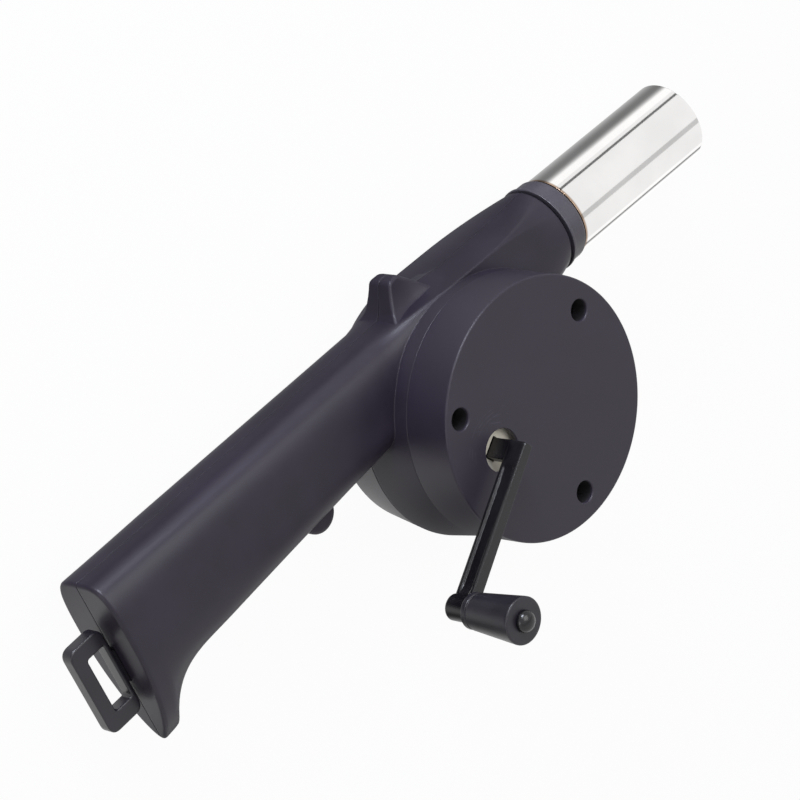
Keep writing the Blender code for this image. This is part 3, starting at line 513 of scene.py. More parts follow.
@dataclass(frozen=True)
class CoverPlastic(Finish):
    """The cover's plastic, with the rubbed arcs and short scratches that a crank leaves round its hole, and painted
    shade in its screw wells.
    """

    arcs: tuple[Point, ...] = ((10.9, 0.13), (12.1, 0.10), (13.2, 0.07))
    arc_start: Point = (0.6, 1.5)
    arc_end: Point = (2.7, 3.05)
    arc_strength: float = 0.25
    scratch_strength: float = 0.3
    face_height: Point = (50.0, 51.0)
    well_edge: Point = (5.2, 5.6)
    well_height: Point = (49.8, 50.9)

    def marks(self, graph: Graph) -> Value:
        """Returns thin arcs at set distances from the hole, broken up by noise."""
        across, along, height, away = graph.around(CRANK_AXIS)
        bearing = along.maths("ARCTAN2", across)
        sector = bearing.over(*self.arc_start) * bearing.under(*self.arc_end)
        patchy = graph.noise(2.2, 3.0).over(0.42, 0.58)
        rings = [(away - radius).size().under(width * 0.4, width * 1.6) for radius, width in self.arcs]
        scratch = (across * 0.5 + along - 9.5).size().under(0.05, 0.16)
        short = (across - 1.5).size().under(1.2, 2.4)
        rubbed = sum(rings[1:], rings[0]) * sector * patchy * self.arc_strength
        return (rubbed + scratch * short * self.scratch_strength) * height.over(*self.face_height)

    def painted_shade(self, graph: Graph) -> Value:
        """Returns where the screw wells are, below their rims, where shade is painted."""
        wells = []
        # Painted shade fills each screw well below its rim
        for axis in COVER_SCREWS:
            _, _, height, away = graph.around(axis)
            wells.append(away.under(*self.well_edge) * height.under(*self.well_height))
        return sum(wells[1:], wells[0])


@dataclass(frozen=True)
class PolishedSteel(Finish):
    """Mirror-polished steel with very fine lines round the tube and a heat tint by the collar."""

    warm: Colour = (0.42, 0.30, 0.22)
    warm_reach: Point = (57.6, 58.4)

    def tint(self, graph: Graph, base: Value) -> Value:
        """Warms the colour over the first millimetre of the tube."""
        along = graph.parts(graph.place())[0]
        return graph.blend(along.under(*self.warm_reach), base, self.warm)


CASING = Finish("casing_plastic", "black_plastic", (0.0165, 0.0125, 0.0225), 0.40, specular=0.36, grain=0.28,
                grain_depth=0.014, edge=0.45)
COVER = CoverPlastic("cover_plastic", "black_plastic", (0.0180, 0.0135, 0.0245), 0.43, specular=0.42, grain=0.30,
                     grain_depth=0.016, shade=0.04, edge=0.25)
COLLAR = Finish("collar_plastic", "black_plastic", (0.050, 0.045, 0.057), 0.38, grain=0.5, grain_depth=0.006)
GLOSSY = Finish("crank_plastic", "crank_plastic", (0.0045, 0.0040, 0.0055), 0.24, grain=0.9, grain_depth=0.008,
                cloud=6.0, unevenness=0.08, edge=0.2)
KNOB = Finish("knob_plastic", "crank_plastic", (0.012, 0.010, 0.015), 0.36, grain=0.5, grain_depth=0.01, cloud=5.0)
LOOP = Finish("loop_plastic", "crank_plastic", (0.012, 0.010, 0.015), 0.30, grain=0.6, grain_depth=0.01, cloud=7.0)
NYLON = Finish("cream_nylon", "cream_nylon", (0.74, 0.70, 0.60), 0.42, grain=0.4, grain_depth=0.006, shade=0.05)
FAN = Finish("fan_plastic", "fan_plastic", (0.05, 0.05, 0.055), 0.48, grain=0.5, grain_depth=0.01)
TUBE = PolishedSteel("polished_steel", "polished_steel", (0.90, 0.89, 0.885), 0.085, metallic=1.0, grain=0.22,
                     grain_depth=0.0006, unevenness=0.03, shade=0.03, stretch=(6.0, 0.2, 0.2))
ZINC = Finish("zinc_steel", "zinc_steel", (0.62, 0.62, 0.63), 0.28, metallic=1.0, grain=0.3, grain_depth=0.004)
BRASS = Finish("sintered_brass", "sintered_brass", (0.62, 0.47, 0.22), 0.42, metallic=1.0, grain=0.2, grain_depth=0.01)


def dressed(piece: Body, finish: Finish, body: str, *nodes: str) -> Body:
    """Gives a new piece its finish and body, and hides the nodes of the solid model that it stands for.

    Args:
        piece: The new piece.
        finish: Its finish.
        body: The body that it moves with.
        nodes: The nodes that it replaces.
    """
    piece.data.materials.clear()
    piece.data.materials.append(finish.material())
    weighted = piece.modifiers.new("weighted_normals", "WEIGHTED_NORMAL")
    weighted.keep_sharp = True
    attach(piece, body)
    if nodes:
        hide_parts(*nodes)
    piece.data.calc_loop_triangles()
    LOG.info("%s: %d triangles", piece.name, len(piece.data.loop_triangles))
    return piece


def repainted(node: str, finish: Finish) -> None:
    """Gives a node of the solid model a finished material."""
    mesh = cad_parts[node].data
    mesh.materials.clear()
    mesh.materials.append(finish.material())
    LOG.info("%s: keeps its solid", node)


# The casing


@dataclass
class Casing:
    """Two moulded halves that make the grip, the fan drum, the neck and the nozzle's spigot."""

    half_gap: float = 0.15
    wall: float = 2.2
    drum_seam_radius: float = 42.0
    drum_face_radius: float = 40.0
    drum_intake_radius: float = 39.0
    drum_top: float = 34.4
    drum_edge: float = 2.0
    deck: Point = (29.4, 32.2)
    lip: Triple = (36.6, 37.5, 36.0)
    grille_radius: float = 25.0
    grille_recess: float = 0.8
    grille_floor: float = 2.8
    hub_radius: float = 6.2
    slot_rings: tuple[tuple[int, float, float], ...] = ((10, 7.8, 13.2), (20, 15.0, 23.4))
    rib: float = 1.7
    butt: float = -147.3
    lean_height: float = 9.0
    grip_top: Point = (36.2, 4.4)
    grip_low: Triple = (0.13, 141.2, 5.1)
    grip_tail: tuple[float, ...] = (-108.2, 33.0, 15.0, 4.35)
    round_tail: Point = (-141.2, -112.0)
    lean_end: float = -120.0
    middle_line: Point = (17.0, 5.0)
    upper_power: float = 4.0
    lower_power: Point = (2.9, 1.3)
    grip_half: float = 12.4
    neck_half: float = 13.5
    neck_span: Point = (15.4, 40.95)
    neck_crown: float = 0.8
    crown_reach: float = 20.0
    neck_square_x: float = 15.0
    neck_end: Point = (49.2, 14.3)
    neck_ease: float = 2.2
    neck_shoulder: float = 0.5
    spigot: Triple = (12.7, 10.6, 74.0)
    thumb_heights: Point = (40.9, 50.2)
    finger_stop: tuple[float, ...] = (-69.8, 6.3, 6.3, 6.4)
    stop_edge: float = 1.7
    loop_height: float = 7.6
    tang_slot: Point = (5.8, 1.8)
    butt_edge: float = 1.2
    bush_boss: Point = (5.0, 6.2)
    intake_seat: Point = (3.3, 2.1)
    deck_seat: float = 3.3
    intake_boss: Triple = (4.2, 1.2, 5.6)
    well_radius: float = 3.1
    shell_post: Point = (3.3, 11.2)
    cover_post: Point = (3.0, 42.1)
    crank_post: Point = (3.4, 41.1)
    idler_post: Point = (3.2, 32.9)
    shell_pilot_end: float = 26.5
    cover_pilot_end: float = 51.3
    quarter_marks: int = 13
    corner_marks: tuple[int, int] = (3, 10)
    round_angles: tuple[float, ...] = (0, 7.3, 14.7, 22, 27.7, 33.4, 39.1, 44.9, 50.6, 56.3, 62, 71.3, 80.7, 90)
    samples: int = 34

    def marks(self) -> Array:
        """Returns the marks along a quarter section, closer together at the ends of its corner."""
        return np.linspace(0, self.quarter_marks, self.samples + 1)

    def oval_quarter(self, half: Array, height: Array, power: Array) -> Array:
        """Returns quarters of super-ellipses: across = h sin^(2/p), up = k cos^(2/p) of an angle to a right one."""
        turn = (self.marks() / self.quarter_marks * np.pi / 2)[None, :]
        across = half[:, None] * np.sin(turn) ** (2 / power[:, None])
        up = height[:, None] * np.clip(np.cos(turn), 0, 1) ** (2 / power[:, None])
        return np.stack([across, up], axis=-1)

    def square_quarter(self, half: float, height: float, corner: float = 0.5) -> Array:
        """Returns a quarter of a rectangle: a flat for three marks, a small round corner for seven, then a wall."""
        marks, last = self.marks(), self.quarter_marks
        start, end = self.corner_marks
        turn = np.clip((marks - start) / (end - start), 0, 1) * np.pi / 2
        flat, wall = half - corner, height - corner
        across = np.where(marks < start, flat * marks / start, flat + corner * np.sin(turn))
        up = np.where(marks > end, wall * (last - marks) / (last - end), wall + corner * np.cos(turn))
        return np.stack([across, up], axis=-1)

    def round_quarter(self, radius: float) -> Array:
        """Returns a quarter of a circle whose marks meet the square's flats and corner."""
        turn = np.radians(np.interp(self.marks(), np.arange(self.quarter_marks + 1), self.round_angles))
        return np.stack([radius * np.sin(turn), radius * np.cos(turn)], axis=-1)

    def ring(self, x: Array, upper: Array, lower: Array, middle: Array, lean: Array) -> Array:
        """Mirrors quarter sections into rings, which lean back with their height near the butt.

        Args:
            x: Where each section stands.
            upper: Each section's upper quarter, as across and up.
            lower: Each section's lower quarter.
            middle: The height where the quarters meet.
            lean: How far each section leans back for each millimetre of height.
        """
        down = lower[:, ::-1] * (1, -1)
        half = np.concatenate([upper[:, :-1], down], axis=1)
        other = half[:, -2:0:-1] * (-1, 1)
        whole = np.concatenate([half, other], axis=1)
        height = middle[:, None] + whole[..., 1]
        along = x[:, None] - lean[:, None] * (height - self.lean_height)
        return np.stack([along, height, SEAM + whole[..., 0]], axis=-1)

    def grip_lines(self, x: Array) -> tuple[Array, Array]:
        """Returns the grip's top and lower height: two gentle slopes, and a tail that drops ever more steeply."""
        height, gain = self.grip_top
        slope, ahead, below = self.grip_low
        start, reach, drop, power = self.grip_tail
        tail = np.clip((start - x) / reach, 0, 1)
        return height + gain * (x - self.butt) / -self.butt, slope * (x + ahead) - below - drop * tail ** power

    def grip_rings(self, x: Array, inset: Array) -> Array:
        """Returns the grip's sections, squarish above and rounder towards the tail."""
        top, low = self.grip_lines(x)
        tail = 1 - eased_step(x, *self.round_tail)
        middle = self.middle_line[0] - self.middle_line[1] * tail
        power = self.lower_power[0] - self.lower_power[1] * tail
        half = self.grip_half - inset
        upper = self.oval_quarter(half, top - middle - inset, np.full(len(x), self.upper_power))
        lower = self.oval_quarter(half, middle - low - inset * (1 + tail), power)
        lean = BUTT_LEAN * (1 - eased_step(x, self.butt, self.lean_end))
        return self.ring(x, upper, lower, middle, lean)

    def square_rings(self, x: Array, inset: float = 0.0) -> Array:
        """Returns the neck's square sections, whose tops grow a crown along the way."""
        middle = sum(self.neck_span) / 2
        quarter = self.square_quarter(self.neck_half - inset, self.neck_span[1] - middle - inset)
        lower = np.repeat(quarter[None], len(x), axis=0)
        upper = lower.copy()
        crown = self.neck_crown * np.clip(x / self.crown_reach, 0, 1)[:, None]
        upper[..., 1] += crown * (1 - np.clip(self.marks() / self.corner_marks[0], 0, 1) ** 2)
        return self.ring(x, upper, lower, np.full(len(x), middle), np.zeros(len(x)))

    def round_rings(self, x: Array, radius: Array | float) -> Array:
        """Returns round sections about the tube's axis."""
        quarters = self.round_quarter(1.0)[None] * np.broadcast_to(radius, len(x))[:, None, None]
        return self.ring(x, quarters, quarters, np.full(len(x), TUBE_HEIGHT), np.zeros(len(x)))

    def spine(self) -> Body:
        """Makes the outer body from the butt to the neck's end.

        The edges of the butt and of the neck's end are quarter circles. The grip turns square over the drum. The
        neck mixes the square section with the round one, by a share that grows as a power of the way. That leaves
        the two creases that part from the square's corner.
        """
        turn, edge = np.linspace(0, np.pi / 2, 6), self.butt_edge
        butt = self.grip_rings(self.butt + edge * (1 - np.cos(turn)), edge * (1 - np.sin(turn)))
        x = np.concatenate([np.linspace(self.butt + 2.2, -112, 26), np.linspace(-107, -26, 22)])
        grip = self.grip_rings(x, np.zeros(len(x)))
        x = np.linspace(-22, -2, 8)
        part = np.interp(x, [-25, -12, 0], [0, 0.6, 1])[:, None, None]
        over = (1 - part) * self.grip_rings(x, np.zeros(len(x))) + part * self.square_rings(x)
        square = self.square_rings(np.linspace(0, self.neck_square_x, 4)[:-1])
        end, radius = self.neck_end
        x = np.linspace(self.neck_square_x, end - self.neck_shoulder, 22)
        part = (((x - self.neck_square_x) / (end - self.neck_square_x)) ** self.neck_ease)[:, None, None]
        neck = (1 - part) * self.square_rings(x) + part * self.round_rings(x, radius)
        inward = self.neck_shoulder * (1 - np.cos(turn[1:]))
        shoulder = self.round_rings(end - self.neck_shoulder * (1 - np.sin(turn[1:])), radius - inward)
        return lofted("spine", np.concatenate([butt, grip, over, square, neck, shoulder]))

    def hollows(self) -> list[Body]:
        """Makes the spaces inside the drum, the grip and the neck."""
        floor, seam, deck = (radius - self.wall for radius in (self.drum_intake_radius, self.drum_seam_radius,
                                                               self.drum_face_radius + 0.5))
        profile = [(0, self.grille_floor, 0), (floor, self.grille_floor, 1), (seam, SEAM, 0),
                   (deck, self.deck[0], 1), (0, self.deck[0], 0)]
        drum = turned("drum_hollow", eased(profile, 3))
        x = np.array([self.butt + 2.6, -141, -136, -130, -120, -104, -22.0])
        grip = lofted("grip_hollow", self.grip_rings(x, np.full(len(x), self.wall)))
        worked(grip, Operation.CUT, rod("plug", self.drum_seam_radius + 0.4, -20, 60, segments=96))
        ends = np.array([self.neck_end[0] - 4.0, self.spigot[2] + 2.0])
        starts = np.array([8.0, self.neck_square_x])
        rings = [self.square_rings(starts, self.wall), self.round_rings(ends, self.spigot[1])]
        return [drum, grip, lofted("neck_hollow", np.concatenate(rings))]

    def drum(self) -> Body:
        """Makes the drum's outer form, a round box that drafts away from the seam."""
        profile = [(0, 0, 0), (self.drum_intake_radius, 0, self.drum_edge), (self.drum_seam_radius, SEAM, 0),
                   (self.drum_face_radius, self.drum_top, 0.3), (0, self.drum_top, 0)]
        return turned("drum", eased(profile, 7), segments=160)

    def thumb_rest(self) -> Body:
        """Makes the horn: level slices with hollow sides, which flare into the casing and close over its crest.

        With f the share of the way down from the crest, the half widths are 4.9 + 2.2 f^2 at the rear and
        4.2 + 2.3 f^2 in front, and the waist between them is 1.1 f less than their mean. A notch follows the seam.
        """
        foot, crest = self.thumb_heights
        rise = np.array([37.0, 38.2, 39.2, 40.0, 40.6, 41.2, 41.8, 42.6, 44.0, 46.0, 48.0, 49.2])
        bend = np.linspace(0, np.pi / 2, 6)[1:]
        rise = np.concatenate([rise, crest - 1 + np.sin(bend)])
        draw_in = np.concatenate([np.zeros(len(rise) - len(bend)), 1 - np.cos(bend)])
        flare = 1.6 * np.clip((42.6 - rise) / 3.4, 0, 1.1) ** 2.4
        rings = []
        for y, out in zip(rise, flare - draw_in):
            down = np.clip((crest - y) / (crest - foot), 0, 1.2)
            rear, front = -18.4 + 0.54 * (y - foot) - out, -0.3 - 0.96 * (y - foot) + out
            half, nose = 4.9 + 2.2 * down ** 2 + out, 4.2 + 2.3 * down ** 2 + out
            waist = (half + nose) / 2 - 1.1 * down
            sides = [(rear, -half, 1.2), (rear, half, 1.2), ((rear + front) / 2, waist, 3.0), (front, nose, 1.6),
                     (front, -nose, 1.6), ((rear + front) / 2, -waist, 3.0)]
            outline = eased(sides, 6, closed=True)
            level = y + 0.12 * (1 - min(down, 1.0)) * (outline[:, 0] + 11.2)
            rings.append(np.column_stack([outline[:, 0], level, SEAM + outline[:, 1]]))
        horn = lofted("thumb_rest", np.stack(rings), 40.0)
        corners = np.array([(49.3, 0), (51.0, 1.1), (51.0, -1.1)])
        notch = [np.column_stack([np.full(3, x), corners[:, 0], SEAM + corners[:, 1]]) for x in (-16.0, -6.0)]
        return worked(horn, Operation.CUT, lofted("notch", np.stack(notch)))

    def stop(self) -> Body:
        """Makes the round bump under the grip."""
        x, y, radius, half = self.finger_stop
        low, high, edge = SEAM - half, SEAM + half, self.stop_edge
        profile = [(0, low, 0), (radius, low, edge), (radius, high, edge), (0, high, 0)]
        return turned("finger_stop", eased(profile, 6), (x, y), segments=56)

    def whole(self) -> Body:
        """Makes the whole hollow casing, before it is parted."""
        radius, _, end = self.spigot
        spigot = rod("spigot", radius, self.neck_end[0] - 6, end, (TUBE_HEIGHT, SEAM), Axis.X, 80)
        body = worked(self.spine(), Operation.JOIN, self.drum(), self.thumb_rest(), self.stop(), spigot)
        wide, thick = self.tang_slot
        heights = (self.loop_height - wide, self.loop_height + wide)
        outline = rectangle((self.butt - 4, self.butt + 6), heights)
        slot = extruded("tang_slot", outline, SEAM - thick, SEAM + thick)
        return worked(body, Operation.CUT, *self.hollows(), slot)

    def grille_slot(self, count: int, inner: float, outer: float, step: int) -> Body:
        """Makes one radial slot that widens outwards, so that the ribs between slots keep their width."""
        narrow, wide = (np.pi / count - self.rib / 2 / radius for radius in (inner, outer))
        side = 0.8 / outer
        turns = np.array([(inner, -narrow), (inner, narrow), (outer - 0.8, wide), (outer - 0.25, wide - side * 0.3),
                          (outer, wide - side), (outer, side - wide), (outer - 0.25, side * 0.3 - wide),
                          (outer - 0.8, -wide)])
        angle = turns[:, 1] + FULL_TURN * (step + 0.5) / count
        outline = np.column_stack([turns[:, 0] * np.cos(angle), turns[:, 0] * np.sin(angle)])
        return extruded("slot", outline, -2, self.grille_floor + 2)

    def intake_half(self, whole: Body) -> Body:
        """Makes the half with the air intake, its grille, bush seat and screw wells."""
        seam = SEAM - self.half_gap
        shell = kept_side(linked("intake_half", whole.data.copy()), seam, -1)
        boss = rod("bush_boss", self.bush_boss[0], self.grille_floor - 1, self.bush_boss[1])
        recess = hoop("recess", (self.hub_radius, self.grille_radius), -2, self.grille_recess)
        slots = [self.grille_slot(count, inner, outer, step)
                 for count, inner, outer in self.slot_rings for step in range(count)]
        worked(shell, Operation.JOIN, boss)
        worked(shell, Operation.CUT, recess, together("slots", slots), rod("seat", *self.intake_seat, 20))
        radius, low, lifted = self.intake_boss
        bosses = [rod("boss", radius, lifted if x < -42 or y > 24 else low, seam, (x, y)) for x, y in SHELL_SCREWS]
        worked(shell, Operation.JOIN, *bosses)
        wide, narrow, past = self.well_radius, CLEARANCE_BORE, SEAM + 1
        well = np.array([(0, -2), (wide, -2), (wide, SHELL_SEAT), (narrow, SHELL_SEAT), (narrow, past), (0, past)])
        wells = [turned("well", well, place, segments=40) for place in SHELL_SCREWS]
        return settled(worked(shell, Operation.CUT, together("wells", wells)))

    def drive_half(self, whole: Body) -> Body:
        """Makes the half that carries the gearbox deck, with its lip, posts and bores."""
        seam = SEAM + self.half_gap
        shell = kept_side(linked("drive_half", whole.data.copy()), seam, 1)
        inner, outer, top = self.lip
        deck_low, deck_top = self.deck
        worked(shell, Operation.JOIN, hoop("lip", (inner - 0.5, outer), deck_top, top))
        worked(shell, Operation.CUT, rod("gear_space", inner, deck_top, top + 2, segments=96))
        radius, rise = self.shell_post
        start = deck_low + 1
        posts = [rod("post", radius, seam, start if np.hypot(x, y) < self.drum_face_radius else SEAM + rise, (x, y))
                 for x, y in SHELL_SCREWS]
        rows = [*[(self.cover_post, place) for place in COVER_SCREWS], (self.crank_post, CRANK_AXIS),
                (self.idler_post, IDLER_AXIS)]
        posts += [rod("post", radius, start, end, place) for (radius, end), place in rows]
        worked(shell, Operation.JOIN, *posts)
        bores = [rod("bore", PILOT_BORE, seam - 1, self.shell_pilot_end, place) for place in SHELL_SCREWS]
        bores += [rod("bore", PILOT_BORE, deck_top + 1, self.cover_pilot_end, place) for place in COVER_SCREWS]
        bores.append(rod("bore", AXLE_BORE, deck_low + 0.8, deck_top + 4, IDLER_AXIS))
        bores.append(rod("bore", self.deck_seat, deck_low - 2, deck_top + 2))
        return settled(worked(shell, Operation.CUT, together("bores", bores)))

    def build(self) -> None:
        """Builds both halves and dresses them."""
        whole = self.whole()
        dressed(self.drive_half(whole), CASING, "casing", "drive_shell")
        dressed(self.intake_half(whole), CASING, "casing", "intake_shell")
        bpy.data.objects.remove(whole)


@dataclass
class GearboxCover:
    """The round cover over the gears, with three screw wells and the crank's hole."""

    span: Point = (34.7, 51.3)
    skin: float = 2.0
    radius: float = 40.35
    inner_radius: float = 37.8
    rim: float = 0.7
    hole_radius: float = 6.5
    well_radius: float = 3.35
    boss: Point = (4.9, 42.4)
    ring: Triple = (8.9, 10.5, 45.3)
    axle_boss: Point = (3.0, 44.0)

    def build(self) -> None:
        """Turns the cup with its eased rim, joins the bosses and cuts the wells."""
        low, top = self.span
        inner, outer = self.inner_radius, self.radius
        profile = [(0, top - self.skin, 0), (inner - 0.3, top - self.skin, 0.8), (inner, low, 0), (outer, low, 0.25),
                   (outer - 0.2, top, self.rim), (0, top, 0)]
        cover = turned("gearbox_lid", eased(profile, 6), segments=180)
        inside = top - self.skin + 0.5
        bosses = [rod("boss", *self.boss, inside, place) for place in COVER_SCREWS]
        bosses.append(hoop("ring", self.ring[:2], self.ring[2], inside, CRANK_AXIS, 56))
        bosses.append(rod("boss", *self.axle_boss, inside, IDLER_AXIS))
        worked(cover, Operation.JOIN, *bosses)
        radius, narrow, low = self.well_radius, CLEARANCE_BORE, self.boss[1]
        shape = [(0, top + 1), (radius + 0.9, top + 0.3), (radius + 0.25, top - 0.05), (radius, top - 0.4),
                 (radius, COVER_SEAT), (narrow, COVER_SEAT), (narrow, low - 1), (0, low - 1)]
        wells = [turned("well", np.array(shape), place, segments=64) for place in COVER_SCREWS]
        edge = self.hole_radius
        hole = [(0, top + 1), (edge + 0.9, top + 0.3), (edge + 0.2, top - 0.04), (edge, top - 0.35), (edge, top - 5),
                (0, top - 5)]
        wells.append(turned("hole", np.array(hole), CRANK_AXIS))
        wells.append(rod("bore", AXLE_BORE, low, top - self.skin - 0.2, IDLER_AXIS))
        worked(cover, Operation.CUT, together("wells", wells))
        dressed(settled(cover), COVER, "casing", "gearbox_cover")


@dataclass
class Nozzle:
    """The polished tube and the collar that clamps it."""

    centre: Point = (TUBE_HEIGHT, SEAM)
    tube_x: Point = (57.3, 116.5)
    tube_radius: float = 13.5
    tube_wall: float = 0.5
    collar_x: Point = (50.1, 57.0)
    collar_radius: float = 14.1
    flange_radius: float = 14.7
    collar_bore: float = 13.0

    def build(self) -> None:
        """Turns the tube with its rounded rim and the collar with its flange."""
        start, end = self.tube_x
        outer, inner = self.tube_radius, self.tube_radius - self.tube_wall
        tube = [(inner, start, 0), (outer, start, 0.1), (outer, end, 0.24), (inner, end, 0.24)]
        dressed(turned("steel_nozzle", eased(tube, 6, closed=True), self.centre, Axis.X, 160), TUBE, "casing",
                "nozzle_tube")
        start, end = self.collar_x
        outer, flange = self.collar_radius, self.flange_radius
        collar = [(self.collar_bore, start, 0), (flange, start, 0.3), (flange, start + 1.05, 0.3),
                  (outer, start + 1.3, 0.2), (outer, end - 0.8, 0.3), (outer - 0.6, end, 0.3),
                  (self.collar_bore, end, 0)]
        dressed(turned("clamp_ring", eased(collar, 5), self.centre, Axis.X, 160), COLLAR, "casing", "nozzle_collar")


@dataclass
class HangingLoop:
    """The loop at the butt, a flat frame whose tang is held between the halves."""

    butt: Point = (-147.216, 7.6)
    outer: tuple[Point, Point] = ((1.1, 13.8), (-14.7, 14.7))
    hole: tuple[Point, Point] = ((2.6, 9.2), (-9.2, 9.2))
    corners: Point = (3.2, 1.2)
    half_thick: float = 2.2
    edge: float = 0.5
    tang: tuple[Point, Point] = ((-1.9, 4.2), (-5.5, 5.5))
    tang_head: tuple[Point, Point] = ((3.2, 5.4), (-8.5, 8.5))
    tang_half: float = 1.5
    samples: int = 14

    def frame_body(self) -> Body:
        """Carries a section round the loop: a box from the hole to the outline whose corners are quarter circles.

        The outline and the hole are drawn in by e (1 - cos a) at heights half_thick - e (1 - sin a), with e the
        edge's radius. X counts outward from the butt.
        """
        turn = np.linspace(0, np.pi / 2, 5)
        inset, height = self.edge * (1 - np.cos(turn)), self.half_thick - self.edge * (1 - np.sin(turn))
        levels = [*zip(-height[::-1], inset[::-1]), *zip(height, inset)]
        rings = []
        for ((near, far), (low, high)), reach, side in zip((self.outer, self.hole), self.corners, (1, -1)):
            for level, draw in levels:
                draw *= side
                outline = rectangle((draw - far, -near - draw), (low + draw, high - draw), reach, self.samples)
                rings.append(np.column_stack([outline, np.full(len(outline), SEAM + side * level)]))
        return lofted("hanging_hoop", np.stack(rings), closed=True)

    def build(self) -> None:
        """Builds the frame with its tang, and leans it with the butt."""
        loop = self.frame_body()
        bars = [extruded("bar", rectangle(*bar), SEAM - self.tang_half, SEAM + self.tang_half)
                for bar in (self.tang, self.tang_head)]
        worked(loop, Operation.JOIN, *bars)
        dressed(settled(carried(loop, self.butt, np.arctan(BUTT_LEAN))), LOOP, "casing", "hanging_loop")


@dataclass
class Crank:
    """The one-piece crank with its channelled arm, and the knob that turns on its pin."""

    angle: float = np.radians(-146.0)
    throw: float = 48.7
    arm_low: Point = (54.2, 55.5)
    arm_high: Point = (61.0, 62.4)
    overshoot: float = 3.0
    half_width: Point = (1.75, 2.1)
    flange: float = 1.5
    channel: float = 0.6
    channel_start: Point = (4.6, 6.2)
    channel_end: Point = (42.6, 44.4)
    soft: float = 0.35
    shank: Triple = (3.2, 1.7, 44.3)
    pin_boss: float = 4.0
    pin: float = 2.3
    dome: Point = (3.3, 2.2)
    knob_span: Point = (62.9, 83.6)
    knob_radii: Point = (5.5, 7.1)

    def arm_body(self) -> Body:
        """Makes the arm: an I section, whose web fades out towards both ends, carried along the rising arm.

        The section's half width at a height is the flange's, less a channel of depth d between the flanges. d is 0
        at the ends and full between them.
        """
        soft, ends = self.soft, (-self.overshoot, self.throw)
        tip = ends[0] + np.array([0, 0.1, soft])
        x = np.concatenate([tip, np.linspace(ends[0] + 1, 5.2, 6), np.linspace(5.8, 40.5, 10),
                            np.linspace(41.5, self.throw, 6)])
        depth = self.channel * eased_step(x, *self.channel_start) * (1 - eased_step(x, *self.channel_end))
        half = np.interp(x, ends, self.half_width)
        trim = np.interp(x, tip, [soft, 0.12, 0.0])
        rise = np.array([0, 0.02, soft, self.flange - 0.3, self.flange + 0.1, self.flange + 0.3])
        low, high = (np.interp(x, ends, edge)[:, None] for edge in (self.arm_low, self.arm_high))
        height = np.concatenate([low + rise, high - rise[::-1]], axis=1)
        rounded = np.array([soft, soft * 0.6, 0, 0, 0, 0, 0, 0, 0, 0, soft * 0.6, soft])
        sunk = np.array([0, 0, 0, 0, 0.75, 1, 1, 0.75, 0, 0, 0, 0])
        width = half[:, None] - rounded - depth[:, None] * sunk - trim[:, None]
        along = np.repeat(x[:, None], height.shape[1], axis=1)
        right = np.stack([along, width, height], axis=-1)
        left = np.stack([along, -width, height], axis=-1)[:, ::-1]
        return lofted("crank_arm", np.concatenate([right, left], axis=1), 38.0)

    def pin_body(self) -> Body:
        """Turns the pin with its boss and domed head."""
        low, high = self.arm_low[1] - 0.7, self.knob_span[0] - 0.3
        base = self.knob_span[1] + 0.3
        radius, rise = self.dome
        turn = np.linspace(0, np.pi / 2, 10)[:-1]
        head = [(radius * np.cos(angle), base + 0.4 + rise * np.sin(angle), 0) for angle in turn]
        profile = [(0, low, 0), (self.pin_boss, low, 0.6), (self.pin_boss, high, 0.4), (self.pin, high, 0),
                   (self.pin, base, 0), (radius, base, 0.1), *head, (0, base + 0.4 + rise, 0)]
        return turned("pin", eased(profile, 4), (self.throw, 0), segments=64)

    def crank_body(self) -> Body:
        """Joins the arm, the shank and the pin, and bores the shank for its screw."""
        long_half, thin_half, low = self.shank
        outline = rectangle((-long_half, long_half), (-thin_half, thin_half), 0.45, 4)
        shank = extruded("shank", outline, low, self.arm_high[0] - 0.9)
        body = worked(self.arm_body(), Operation.JOIN, shank, self.pin_body())
        worked(body, Operation.CUT, rod("bore", 1.35, low - 1, low + 8, segments=24))
        body.name = "crank_handle"
        return settled(carried(body, CRANK_AXIS, self.angle), 34.0)

    def knob_body(self) -> Body:
        """Turns the tapered grip with its groove near the arm and its flat outer face."""
        low, high = self.knob_span
        small, large = self.knob_radii
        profile = [(2.5, low, 0), (small, low, 0.4), (small, low + 1.75, 0.15), (small - 0.4, low + 1.95, 0.15),
                   (small - 0.35, low + 2.35, 0.12), (small + 0.12, low + 2.55, 0.2), (large, high - 0.9, 0.3),
                   (large, high, 0.75), (2.5, high, 0)]
        knob = turned("knob_grip", eased(profile, 5), (self.throw, 0), segments=128)
        return settled(carried(knob, CRANK_AXIS, self.angle), 34.0)

    def build(self) -> None:
        """Builds the crank and the knob."""
        dressed(self.crank_body(), GLOSSY, "crank_unit", "crank")
        dressed(self.knob_body(), KNOB, "knob_grip", "knob")


